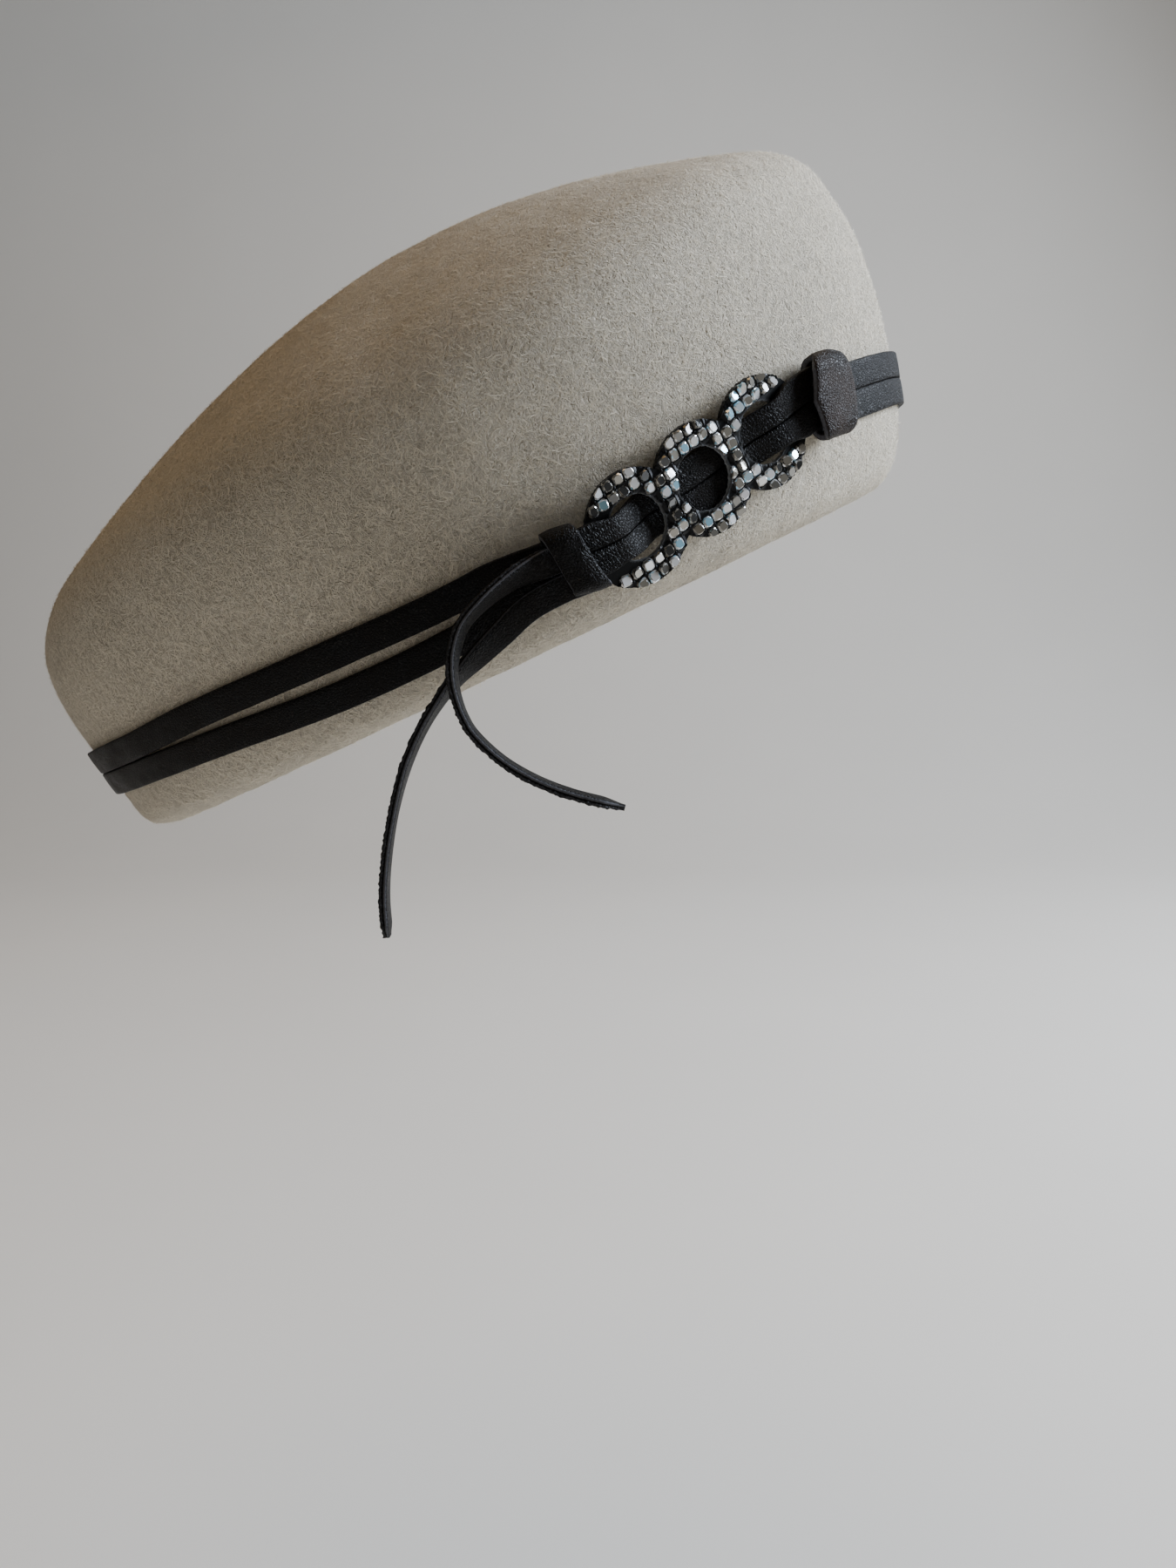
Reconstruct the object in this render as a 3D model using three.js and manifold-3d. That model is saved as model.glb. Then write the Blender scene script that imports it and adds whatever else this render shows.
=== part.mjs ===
// A pillbox hat of cream wool felt, worn tilted back. Two flat leather strips go round its crown,
// a trim of three crystal rings sits at the wearer's right, and two leather tails hang from it.
// Millimetres: +X is the front of the hat, +Y its left side, +Z up, and the origin is the middle
// of the head opening. The hat's own axes are turned back by TILT_BACK about Y.

import * as THREE from 'three';
import { mergeVertices } from 'three/addons/utils/BufferGeometryUtils.js';
import Module from 'manifold-3d';

const wasm = await Module();
wasm.setup();

// How far the front is raised, in degrees.
const TILT_BACK = 25.3;

// Head opening, half sizes at the turned-in lip.
const OPENING_HALF_LENGTH = 99;
const OPENING_HALF_WIDTH = 82;

// Widest reach of the crown from the middle of the opening.
const CROWN_FRONT = 120.5;
const CROWN_SIDE = 100;
const CROWN_BACK = 113.5;

// Height of the crown's edge above the opening, and of the domed tip.
const EDGE_HEIGHT_FRONT = 80;
const EDGE_HEIGHT_SIDE = 58.5;
const EDGE_HEIGHT_BACK = 54.5;
const TIP_HEIGHT = 104.5;
const TIP_FORWARD = 25;

// How the dome falls from its top: 2 is a parabola, and less is more pointed.
const DOME_POWER = 1.7;

// How far from the sharp edge the rounding starts, along the wall and along the tip.
const EDGE_ROUND_FRONT = 8;
const EDGE_ROUND_SIDE = 15;
const EDGE_ROUND_BACK = 11;

const FELT_THICKNESS = 2.8;

// Leather strips, keepers and tails.
const STRIP_WIDTH = 5.9;
const STRIP_THICKNESS = 1.5;
const STRIP_SPREAD = 2.4;
const STRAP_HEIGHT = 22;
const KEEPER_THICKNESS = 1.4;
const KEEPER_FRONT_WIDTH = 10.5;
const KEEPER_REAR_WIDTH = 7;
const TAIL_WIDTH = 5.4;
const TAIL_THICKNESS = 1.6;

// Room from the trim's front end to the front keeper, and inside the keepers above and beside what
// they hold.
const KEEPER_FRONT_GAP = 1.2;
const KEEPER_FRONT_SLACK = 1.8;
const KEEPER_REAR_SLACK = 0.5;
const KEEPER_SIDE_GAP = 0.7;

// How far the strips come down from the trim's ends to the keepers.
const KEEPER_DROP = 0.9;

// Length in which the strips come down to the felt behind a keeper.
const SETTLE_LENGTH = 14;

// How far each keeper leans from square across the strips, in degrees.
const KEEPER_FRONT_LEAN = -5;
const KEEPER_REAR_LEAN = 9;

// Radius of a keeper's folded corners.
const KEEPER_CORNER = 1.4;

// Ring trim: bearing of its middle from the front, negative on the right side, its height above
// the opening and its slope along the wall.
const TRIM_BEARING = -63.9;
const TRIM_HEIGHT = 18.2;
const TRIM_SLOPE = 10.5;
const TRIM_BEND_RADIUS = 200;
const TRIM_TOE = 2;
const RING_OUTER_DIAMETER = 22.5;
const RING_HOLE_DIAMETER = 12.5;
const RING_SPACING = 17.1;
const PLATE_THICKNESS = 1;
const STONE_PITCH = 2.5;
const STONE_DIAMETER = 2.1;
const STONE_TABLE_DIAMETER = 1.2;
const STONE_RISE = 0.8;
const STONE_SINK = 0.2;

// Gap between pieces that touch.
const CLEARANCE = 0.3;

// Mesh fineness.
const CROWN_COLUMNS = 44;
const RING_SIDES = 28;
const STONE_SIDES = 8;
const KEEPER_CORNER_STEPS = 3;

const UP_AXIS = new THREE.Vector3(0, 0, 1);

// The wall's sections from the lip up to where the edge's rounding starts. climb is a share of that
// height, and front, side and back are shares of the way from the opening to the widest reach.
const WALL_SECTIONS = [
  { climb: 0.0, front: 0.0, side: 0.0, back: 0.0 },
  { climb: 0.0, front: 0.13, side: 0.15, back: 0.19 },
  { climb: 0.02, front: 0.27, side: 0.32, back: 0.42 },
  { climb: 0.06, front: 0.43, side: 0.48, back: 0.64 },
  { climb: 0.13, front: 0.58, side: 0.6, back: 0.74 },
  { climb: 0.22, front: 0.7, side: 0.69, back: 0.78 },
  { climb: 0.34, front: 0.8, side: 0.78, back: 0.82 },
  { climb: 0.48, front: 0.9, side: 0.87, back: 0.87 },
  { climb: 0.63, front: 0.97, side: 0.94, back: 0.93 },
  { climb: 0.77, front: 1.0, side: 0.98, back: 0.98 },
  { climb: 0.89, front: 0.96, side: 1.0, back: 1.0 },
  { climb: 1.0, front: 0.89, side: 0.99, back: 0.98 },
];

// Where the wall and the tip would meet in a sharp edge, as shares of the same reach.
const SHARP_EDGE = { front: 0.81, side: 0.95, back: 0.9 };

// Shares of the tip's run from the edge's rounding to the top of the dome.
const TIP_SHARES = [0, 0.14, 0.32, 0.54, 0.77];

// Shares along the edge's rounding.
const ROUND_SHARES = [0.25, 0.5, 0.75];

// The line between the two strips: bearing from the front in degrees, height as a share of
// STRAP_HEIGHT, and the gap between the strips as a share of STRIP_SPREAD.
const STRAP_LINE = [
  { bearing: -180, height: 0.92, spread: 0 },
  { bearing: -150, height: 0.82, spread: 0.1 },
  { bearing: -124, height: 0.73, spread: 0.7 },
  { bearing: -104, height: 0.63, spread: 1 },
  { bearing: -90, height: 0.63, spread: 0.5 },
  { bearing: -78, height: 0.77, spread: 0 },
  { bearing: -64, height: 0.83, spread: 0 },
  { bearing: -50, height: 1.03, spread: 0 },
  { bearing: -36, height: 1.01, spread: 0 },
  { bearing: -14, height: 1.01, spread: 0.1 },
  { bearing: 20, height: 0.97, spread: 0.2 },
  { bearing: 60, height: 0.84, spread: 0.3 },
  { bearing: 100, height: 0.75, spread: 0.3 },
  { bearing: 145, height: 0.82, spread: 0.1 },
];

// Middle lines of the two tails as the hat is worn, chosen by hand. They start in the rear keeper.
// turn says how far the flat side faces the viewer at the wearer's right, in degrees: at 0
// the cut edge does.
const TAIL_CURLED_ROUTE = [
  { x: 15.8, y: -102.7, z: 23.8, turn: 73 },
  { x: 13.3, y: -102.7, z: 22.9, turn: 73 },
  { x: 9.8, y: -102.9, z: 21.5, turn: 70 },
  { x: 6.8, y: -103.9, z: 20.3, turn: 55 },
  { x: 3, y: -105.2, z: 18.4, turn: 33 },
  { x: -1.9, y: -106.5, z: 14.7, turn: 19 },
  { x: -6, y: -107, z: 10.3, turn: 12 },
  { x: -7.8, y: -107, z: 5.8, turn: 9 },
  { x: -8.4, y: -107, z: 1.7, turn: 4 },
  { x: -8, y: -107, z: -2.4, turn: 2 },
  { x: -6.6, y: -107, z: -6.9, turn: 0 },
  { x: -4.2, y: -107, z: -10.9, turn: 0 },
  { x: 1, y: -107, z: -15.7, turn: 0 },
  { x: 7.3, y: -107, z: -19.4, turn: 0 },
  { x: 14, y: -107, z: -22, turn: 0 },
  { x: 21, y: -107, z: -23.8, turn: 0 },
  { x: 24, y: -107, z: -24.6, turn: 0 },
];
const TAIL_LONG_ROUTE = [
  { x: 17.8, y: -101.2, z: 18.6, turn: 73 },
  { x: 15.2, y: -101.2, z: 17.7, turn: 73 },
  { x: 11.8, y: -101.4, z: 16.3, turn: 73 },
  { x: 7.2, y: -101.9, z: 13.9, turn: 70 },
  { x: 4.2, y: -101.7, z: 11.7, turn: 66 },
  { x: 1.2, y: -101.2, z: 8.8, turn: 60 },
  { x: -3.9, y: -100.5, z: 4, turn: 44 },
  { x: -7.9, y: -100, z: 0, turn: 24 },
  { x: -11.3, y: -100, z: -4.2, turn: 12 },
  { x: -15.1, y: -100, z: -10.1, turn: 7 },
  { x: -18.5, y: -100, z: -17.6, turn: 5 },
  { x: -21, y: -100, z: -26.4, turn: 0 },
  { x: -22.6, y: -100, z: -35.3, turn: 0 },
  { x: -23.3, y: -100, z: -43.7, turn: 0 },
  { x: -22.9, y: -100, z: -51.7, turn: 0 },
];

const radians = THREE.MathUtils.degToRad;
const mix = THREE.MathUtils.lerp;

function ease(value) {
  return THREE.MathUtils.smoothstep(value, 0, 1);
}

// Crown surface

// A size that goes from front to side to back as the bearing does.
function around(angle, front, side, back, sweep) {
  const forward = Math.cos(angle);
  const end = forward > 0 ? front : back;
  return mix(side, end, Math.pow(Math.abs(forward), sweep));
}

const EDGE_SWEEP = 1.25;
const ROUND_SWEEP = 1.5;

function edgeHeight(angle) {
  return around(angle, EDGE_HEIGHT_FRONT, EDGE_HEIGHT_SIDE, EDGE_HEIGHT_BACK, EDGE_SWEEP);
}

function edgeRound(angle) {
  return around(angle, EDGE_ROUND_FRONT, EDGE_ROUND_SIDE, EDGE_ROUND_BACK, ROUND_SWEEP);
}

// A point of the crown's outside at a bearing, for shares of the reach and a height.
function crownPoint(angle, shares, height) {
  const forward = Math.cos(angle);
  const front = mix(OPENING_HALF_LENGTH, CROWN_FRONT, shares.front);
  const back = mix(OPENING_HALF_LENGTH, CROWN_BACK, shares.back);
  const side = mix(OPENING_HALF_WIDTH, CROWN_SIDE, shares.side);
  const reach = forward > 0 ? front : back;
  return new THREE.Vector3(reach * forward, side * Math.sin(angle), height);
}

function wallHeight(angle) {
  return edgeHeight(angle) - edgeRound(angle);
}

function wallPoint(angle, section) {
  return crownPoint(angle, section, section.climb * wallHeight(angle));
}

// The tip is a dome from the edge to its top.
function tipPoint(angle, share) {
  const edge = crownPoint(angle, SHARP_EDGE, edgeHeight(angle));
  const left = Math.pow(1 - share, DOME_POWER);
  return new THREE.Vector3(
    mix(TIP_FORWARD, edge.x, 1 - share),
    edge.y * (1 - share),
    mix(TIP_HEIGHT, edge.z, left),
  );
}

// Outside of one column, from the lip to just below the top of the dome.
function outsideColumn(angle) {
  const column = WALL_SECTIONS.map((section) => wallPoint(angle, section));
  const wallEnd = column[column.length - 1];
  const edge = crownPoint(angle, SHARP_EDGE, edgeHeight(angle));
  const run = Math.hypot(edge.x - TIP_FORWARD, edge.y);
  const tipStart = edgeRound(angle) / run;
  const roundEnd = tipPoint(angle, tipStart);
  const rounding = new THREE.QuadraticBezierCurve3(wallEnd, edge, roundEnd);
  for (const share of ROUND_SHARES) {
    column.push(rounding.getPoint(share));
  }
  for (const share of TIP_SHARES) {
    column.push(tipPoint(angle, mix(tipStart, 1, share)));
  }
  return column;
}

// A closed mesh lofted through rings of points. A ring of one point is a pole, and a loop joins
// its last ring to its first.
function loft(rings, isLoop = false) {
  const positions = [];
  const starts = [];
  for (const ring of rings) {
    starts.push(positions.length / 3);
    for (const point of ring) {
      positions.push(point.x, point.y, point.z);
    }
  }
  const index = [];
  const last = isLoop ? rings.length : rings.length - 1;
  for (let i = 0; i < last; i += 1) {
    const next = (i + 1) % rings.length;
    const count = Math.max(rings[i].length, rings[next].length);
    for (let j = 0; j < count; j += 1) {
      const k = (j + 1) % count;
      const here = (step) => starts[i] + (rings[i].length === 1 ? 0 : step);
      const there = (step) => starts[next] + (rings[next].length === 1 ? 0 : step);
      if (rings[i].length > 1) {
        index.push(here(j), here(k), there(k));
      }
      if (rings[next].length > 1) {
        index.push(here(j), there(k), there(j));
      }
    }
  }
  const geometry = new THREE.BufferGeometry();
  geometry.setAttribute('position', new THREE.Float32BufferAttribute(positions, 3));
  geometry.setIndex(index);
  geometry.computeVertexNormals();
  return geometry;
}

// The plainer inside follows the lip and some rows of the outside: the first one, and then each
// one this many rows further.
const INSIDE_FIRST_ROW = 3;
const INSIDE_ROW_STEP = 2;

function makeCrown() {
  const columns = [];
  for (let i = 0; i < CROWN_COLUMNS; i += 1) {
    columns.push(outsideColumn((i / CROWN_COLUMNS) * 2 * Math.PI));
  }
  const rowCount = columns[0].length;
  const outside = [];
  for (let row = 0; row < rowCount; row += 1) {
    outside.push(columns.map((column) => column[row]));
  }
  // The inside lies one felt thickness behind the outside, along its normal.
  const inset = (row, i) => {
    const before = columns[(i + CROWN_COLUMNS - 1) % CROWN_COLUMNS][row];
    const after = columns[(i + 1) % CROWN_COLUMNS][row];
    const below = columns[i][Math.max(row - 1, 0)];
    const above = columns[i][Math.min(row + 1, rowCount - 1)];
    const along = after.clone().sub(before);
    const up = above.clone().sub(below);
    const out = along.cross(up).normalize();
    return columns[i][row].clone().addScaledVector(out, -FELT_THICKNESS);
  };
  const insideRows = [0];
  for (let row = INSIDE_FIRST_ROW; row < rowCount; row += INSIDE_ROW_STEP) {
    insideRows.push(row);
  }
  const inside = insideRows.map((row) => columns.map((column, i) => inset(row, i)));
  const topOutside = [new THREE.Vector3(TIP_FORWARD, 0, TIP_HEIGHT)];
  const topInside = [new THREE.Vector3(TIP_FORWARD, 0, TIP_HEIGHT - FELT_THICKNESS)];
  const rings = [topInside, ...inside.slice().reverse(), ...outside, topOutside];
  return loft(rings);
}

// Strap line on the crown

const TURN = 360;

// A value of the strap line at a bearing in degrees, smooth all the way round.
function strapValue(bearing, column) {
  const count = STRAP_LINE.length;
  const wrapped = THREE.MathUtils.euclideanModulo(bearing + 180, TURN) - 180;
  let i = count - 1;
  while (STRAP_LINE[i].bearing > wrapped) {
    i -= 1;
  }
  const row = (k) => {
    const turns = Math.floor(k / count);
    const source = STRAP_LINE[k - turns * count];
    return { at: source.bearing + turns * TURN, value: source[column] };
  };
  const [before, start, end, after] = [row(i - 1), row(i), row(i + 1), row(i + 2)];
  const span = end.at - start.at;
  const t = (wrapped - start.at) / span;
  const slopeStart = ((end.value - before.value) / (end.at - before.at)) * span;
  const slopeEnd = ((after.value - start.value) / (after.at - start.at)) * span;
  const t2 = t * t;
  const t3 = t2 * t;
  return (2 * t3 - 3 * t2 + 1) * start.value + (t3 - 2 * t2 + t) * slopeStart
    + (3 * t2 - 2 * t3) * end.value + (t3 - t2) * slopeEnd;
}

// The outside of the wall at a bearing in radians and a height above the opening.
function feltAt(angle, height) {
  const climb = height / wallHeight(angle);
  let i = 1;
  while (i < WALL_SECTIONS.length - 2 && WALL_SECTIONS[i + 1].climb < climb) {
    i += 1;
  }
  const low = WALL_SECTIONS[i];
  const high = WALL_SECTIONS[i + 1];
  const t = (climb - low.climb) / (high.climb - low.climb);
  const shares = {
    front: mix(low.front, high.front, t),
    side: mix(low.side, high.side, t),
    back: mix(low.back, high.back, t),
  };
  return crownPoint(angle, shares, height);
}

// Degrees either side over which the wall's direction is read.
const NORMAL_TURN = 2;

// Outward normal of the wall, averaged over the height that the strips cover.
function feltNormal(angle, height) {
  const reach = STRIP_WIDTH;
  const turn = radians(NORMAL_TURN);
  const along = feltAt(angle + turn, height).sub(feltAt(angle - turn, height));
  const up = feltAt(angle, height + reach).sub(feltAt(angle, height - reach));
  return along.cross(up).normalize();
}

// The trim is straight along the wall: its line is where a plane through its middle cuts the felt.
const trimAngle = radians(TRIM_BEARING);
const trimMiddle = feltAt(trimAngle, TRIM_HEIGHT);
const trimOut = feltNormal(trimAngle, TRIM_HEIGHT);
const trimLevel = UP_AXIS.clone().cross(trimOut).normalize();
const trimAlong = trimLevel.clone().applyAxisAngle(trimOut, radians(TRIM_SLOPE));
const trimAcross = trimOut.clone().cross(trimAlong);

const HALVINGS = 24;

function trimLineHeight(angle) {
  let low = 0;
  let high = EDGE_HEIGHT_SIDE;
  for (let i = 0; i < HALVINGS; i += 1) {
    const middle = (low + high) / 2;
    const offset = feltAt(angle, middle).sub(trimMiddle).dot(trimAcross);
    if (offset > 0) {
      high = middle;
    } else {
      low = middle;
    }
  }
  return (low + high) / 2;
}

// Degrees either side of the trim's middle where its line holds, and where it has faded out.
const TRIM_HOLD = 11;
const TRIM_FADE = 24;

function strapHeight(bearing) {
  const table = strapValue(bearing, 'height') * STRAP_HEIGHT;
  const away = Math.abs(bearing - TRIM_BEARING);
  if (away >= TRIM_FADE) {
    return table;
  }
  const share = ease((TRIM_FADE - away) / (TRIM_FADE - TRIM_HOLD));
  return mix(table, trimLineHeight(radians(bearing)), share);
}

// The strap line is walked once round, from the trim's middle, and read by its length.
const WALK_STEPS = 720;

// Steps of the walk either side over which its direction is read.
const DIRECTION_STEPS = 4;
const walk = [];
for (let i = 0; i <= WALK_STEPS; i += 1) {
  let bearing = TRIM_BEARING + (i / WALK_STEPS) * TURN;
  if (bearing > 180) {
    bearing -= TURN;
  }
  const angle = radians(bearing);
  const height = strapHeight(bearing);
  const point = feltAt(angle, height);
  const before = i > 0 ? walk[i - 1] : null;
  const length = before ? before.length + point.distanceTo(before.point) : 0;
  walk.push({ bearing, point, length, out: feltNormal(angle, height) });
}
const STRAP_LENGTH = walk[WALK_STEPS].length;

// Point, direction, outward normal and across direction of the strap line at a length from the
// trim's middle, positive towards the front.
function strapFrame(length) {
  const wrapped = THREE.MathUtils.euclideanModulo(length, STRAP_LENGTH);
  let low = 0;
  let high = WALK_STEPS;
  while (high - low > 1) {
    const middle = Math.floor((low + high) / 2);
    if (walk[middle].length <= wrapped) {
      low = middle;
    } else {
      high = middle;
    }
  }
  const start = walk[low];
  const end = walk[high];
  const t = (wrapped - start.length) / (end.length - start.length);
  const point = start.point.clone().lerp(end.point, t);
  const ahead = walk[(low + DIRECTION_STEPS) % WALK_STEPS].point;
  const behind = walk[(low + WALK_STEPS - DIRECTION_STEPS) % WALK_STEPS].point;
  const along = ahead.clone().sub(behind).normalize();
  const out = start.out.clone().lerp(end.out, t);
  out.addScaledVector(along, -out.dot(along)).normalize();
  const across = out.clone().cross(along);
  const bearingSpan = THREE.MathUtils.euclideanModulo(end.bearing - start.bearing, TURN);
  return { point, along, out, across, bearing: start.bearing + t * bearingSpan };
}

// A point given by length along the strap line, distance across it and distance off the felt.
function onStrap(length, across, off) {
  const frame = strapFrame(length);
  return frame.point.addScaledVector(frame.across, across).addScaledVector(frame.out, off);
}

// Ring trim

// The plate is flatter than the felt, so it stands off it more towards its ends.
const FELT_BEND_RADIUS = (() => {
  const reach = RING_SPACING;
  const middle = strapFrame(0);
  const ends = onStrap(-reach, 0, 0).add(onStrap(reach, 0, 0)).multiplyScalar(0.5);
  const sag = middle.point.clone().sub(ends).dot(middle.out);
  return (reach * reach) / (2 * sag);
})();

const PLATE_FLATTENING = 1 / FELT_BEND_RADIUS - 1 / TRIM_BEND_RADIUS;

// The plate's rear end stands off more than its front end, by its toe.
const toeSlope = Math.tan(radians(TRIM_TOE));
const PLATE_OFF = CLEARANCE + STRIP_THICKNESS + CLEARANCE + (toeSlope * toeSlope) / (2 * PLATE_FLATTENING);

function plateUnderside(length) {
  return PLATE_OFF - toeSlope * length + (length * length * PLATE_FLATTENING) / 2;
}

// Corners closer than this are one corner.
const WELD_DISTANCE = 1e-4;

function toSolid(geometry) {
  const bare = geometry.clone();
  bare.deleteAttribute('normal');
  bare.deleteAttribute('uv');
  const merged = mergeVertices(bare, WELD_DISTANCE);
  return new wasm.Manifold(new wasm.Mesh({
    numProp: 3,
    vertProperties: new Float32Array(merged.attributes.position.array),
    triVerts: new Uint32Array(merged.index.array),
  }));
}

function toGeometry(solid) {
  const mesh = solid.getMesh();
  const geometry = new THREE.BufferGeometry();
  geometry.setAttribute('position', new THREE.Float32BufferAttribute(mesh.vertProperties, 3));
  geometry.setIndex(Array.from(mesh.triVerts));
  geometry.computeVertexNormals();
  return geometry;
}

// A round disc with its axis along Z, standing on a height.
function disc(diameterLow, diameterHigh, bottom, height, sides, x, y) {
  const geometry = new THREE.CylinderGeometry(diameterHigh / 2, diameterLow / 2, height, sides);
  geometry.rotateX(Math.PI / 2);
  geometry.translate(x, y, bottom + height / 2);
  return geometry;
}

const STRAP_HALF = STRIP_WIDTH + CLEARANCE / 2;
const TRIM_HALF_LENGTH = RING_SPACING + RING_OUTER_DIAMETER / 2;
const ringCentres = [-RING_SPACING, 0, RING_SPACING];

// Distance from a grid place to the nearest edge of the ringed band, negative off it.
function bandDepth(x, y) {
  const holes = ringCentres.map((c) => Math.hypot(x - c, y) - RING_HOLE_DIAMETER / 2);
  const outers = ringCentres.map((c) => RING_OUTER_DIAMETER / 2 - Math.hypot(x - c, y));
  return Math.min(Math.max(...outers), Math.min(...holes));
}

// Whether the strips lie on the plate there, as they do on the outer bands of the end rings.
function isUnderStrips(x, y) {
  const nearStrips = STRAP_HALF + CLEARANCE + STONE_DIAMETER / 2;
  return Math.abs(x) > RING_SPACING && Math.abs(y) < nearStrips;
}

// A stone that lies less than this share of its diameter inside the outline is left out.
const SMALLEST_STONE = 0.1;

// How far a cutting body runs past what it cuts.
const CUT_OVERRUN = 1;

function makeRingTrim() {
  const outline = (bottom, height) => {
    let band = null;
    for (const x of ringCentres) {
      const ring = toSolid(disc(RING_OUTER_DIAMETER, RING_OUTER_DIAMETER, bottom, height, RING_SIDES, x, 0));
      band = band ? band.add(ring) : ring;
    }
    for (const x of ringCentres) {
      const start = bottom - CUT_OVERRUN;
      const length = height + 2 * CUT_OVERRUN;
      const hole = disc(RING_HOLE_DIAMETER, RING_HOLE_DIAMETER, start, length, RING_SIDES, x, 0);
      band = band.subtract(toSolid(hole));
    }
    return band;
  };
  let plate = outline(0, PLATE_THICKNESS);
  const columns = Math.ceil(TRIM_HALF_LENGTH / STONE_PITCH);
  const rows = Math.ceil(RING_OUTER_DIAMETER / 2 / STONE_PITCH);
  const smallestDepth = STONE_DIAMETER * SMALLEST_STONE;
  const stoneShapes = [];
  for (let i = -columns; i <= columns; i += 1) {
    for (let j = -rows; j <= rows; j += 1) {
      const x = (i + 0.5) * STONE_PITCH;
      const y = j * STONE_PITCH;
      if (bandDepth(x, y) > smallestDepth && !isUnderStrips(x, y)) {
        const bottom = PLATE_THICKNESS - STONE_SINK;
        const height = STONE_RISE + STONE_SINK;
        const stone = disc(STONE_DIAMETER, STONE_TABLE_DIAMETER, bottom, height, STONE_SIDES, x, y);
        stoneShapes.push(toSolid(stone));
      }
    }
  }
  // Stones at the cut outline are cut with it, as the crystal mesh is.
  const trimmer = outline(0, PLATE_THICKNESS + STONE_RISE + CUT_OVERRUN);
  for (const stone of stoneShapes) {
    plate = plate.add(stone.intersect(trimmer));
  }
  const geometry = toGeometry(plate);
  // The flat plate is laid along the strap line and bent to it.
  const position = geometry.attributes.position;
  for (let i = 0; i < position.count; i += 1) {
    const x = position.getX(i);
    const off = plateUnderside(x) + position.getZ(i);
    const bent = onStrap(x, position.getY(i), off);
    position.setXYZ(i, bent.x, bent.y, bent.z);
  }
  geometry.computeVertexNormals();
  return geometry;
}

// Leather strips

const FELT_LEVEL = CLEARANCE + STRIP_THICKNESS / 2;

// Height of the strips' middle where they lie on the plate.
function overPlate(length) {
  return plateUnderside(length) + PLATE_THICKNESS + CLEARANCE + STRIP_THICKNESS / 2;
}

const keeperRearMiddle = -(TRIM_HALF_LENGTH + CLEARANCE + KEEPER_REAR_WIDTH / 2);
const keeperFrontMiddle = TRIM_HALF_LENGTH + KEEPER_FRONT_GAP + KEEPER_FRONT_WIDTH / 2;

// Height of the strips' middle in a keeper: below the trim's end, but with room for the leather
// under them.
function keeperLevel(trimEnd) {
  const lowest = 2 * CLEARANCE + KEEPER_THICKNESS + STRIP_THICKNESS / 2;
  return Math.max(overPlate(trimEnd) - KEEPER_DROP, lowest);
}

// Share of the hole's diameter, either side of its middle, in which the strips cross the plate.
const CROSSING_SHARE = 0.385;
const CROSSING_HALF = RING_HOLE_DIAMETER * CROSSING_SHARE;

const closeStart = keeperRearMiddle - KEEPER_REAR_WIDTH / 2 - SETTLE_LENGTH;
const closeEnd = keeperFrontMiddle + KEEPER_FRONT_WIDTH / 2 + SETTLE_LENGTH;

// Height of the strips' middle off the felt, along the strap line.
const LIFT_STOPS = [
  { at: closeStart, level: FELT_LEVEL },
  { at: keeperRearMiddle - KEEPER_REAR_WIDTH / 2, level: keeperLevel(-TRIM_HALF_LENGTH) },
  { at: -TRIM_HALF_LENGTH, level: overPlate(-TRIM_HALF_LENGTH) },
  { at: -RING_SPACING - CROSSING_HALF, level: overPlate(-TRIM_HALF_LENGTH) },
  { at: -RING_SPACING + CROSSING_HALF, level: FELT_LEVEL },
  { at: RING_SPACING - CROSSING_HALF, level: FELT_LEVEL },
  { at: RING_SPACING + CROSSING_HALF, level: overPlate(TRIM_HALF_LENGTH) },
  { at: TRIM_HALF_LENGTH, level: overPlate(TRIM_HALF_LENGTH) },
  { at: keeperFrontMiddle + KEEPER_FRONT_WIDTH / 2, level: keeperLevel(TRIM_HALF_LENGTH) },
  { at: closeEnd, level: FELT_LEVEL },
];

// A length along the strap line, measured either way from the trim's middle.
function signedLength(length) {
  const wrapped = THREE.MathUtils.euclideanModulo(length, STRAP_LENGTH);
  return wrapped > STRAP_LENGTH / 2 ? wrapped - STRAP_LENGTH : wrapped;
}

function stripLevel(length) {
  const signed = signedLength(length);
  if (signed <= LIFT_STOPS[0].at) {
    return FELT_LEVEL;
  }
  for (let i = 1; i < LIFT_STOPS.length; i += 1) {
    const start = LIFT_STOPS[i - 1];
    const end = LIFT_STOPS[i];
    if (signed <= end.at) {
      return mix(start.level, end.level, ease((signed - start.at) / (end.at - start.at)));
    }
  }
  return FELT_LEVEL;
}

// In the end rings' holes the strips are pinched, so that they pass through.
const PINCH = 0.22;

// Shares of the hole's diameter from its middle: how far the pinch is full, and where it ends.
const PINCH_FULL_SHARE = 0.32;
const PINCH_END_SHARE = 0.75;
const PINCH_FULL = RING_HOLE_DIAMETER * PINCH_FULL_SHARE;
const PINCH_END = RING_HOLE_DIAMETER * PINCH_END_SHARE;

function stripPinch(length) {
  const away = Math.abs(Math.abs(signedLength(length)) - RING_SPACING);
  return 1 - PINCH * ease((PINCH_END - away) / (PINCH_END - PINCH_FULL));
}

// How far the line between the strips lies above the rings' middles, from the rear ring to the
// front one.
const SEAM_SHIFTS = [
  { ring: -2, shift: 0 },
  { ring: -1, shift: 0.2 },
  { ring: 0, shift: -0.9 },
  { ring: 1, shift: -0.2 },
  { ring: 2, shift: 0 },
];

function seamShift(length) {
  const at = signedLength(length) / RING_SPACING;
  for (let i = 1; i < SEAM_SHIFTS.length; i += 1) {
    const start = SEAM_SHIFTS[i - 1];
    const end = SEAM_SHIFTS[i];
    if (at >= start.ring && at < end.ring) {
      return mix(start.shift, end.shift, ease(at - start.ring));
    }
  }
  return 0;
}

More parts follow.
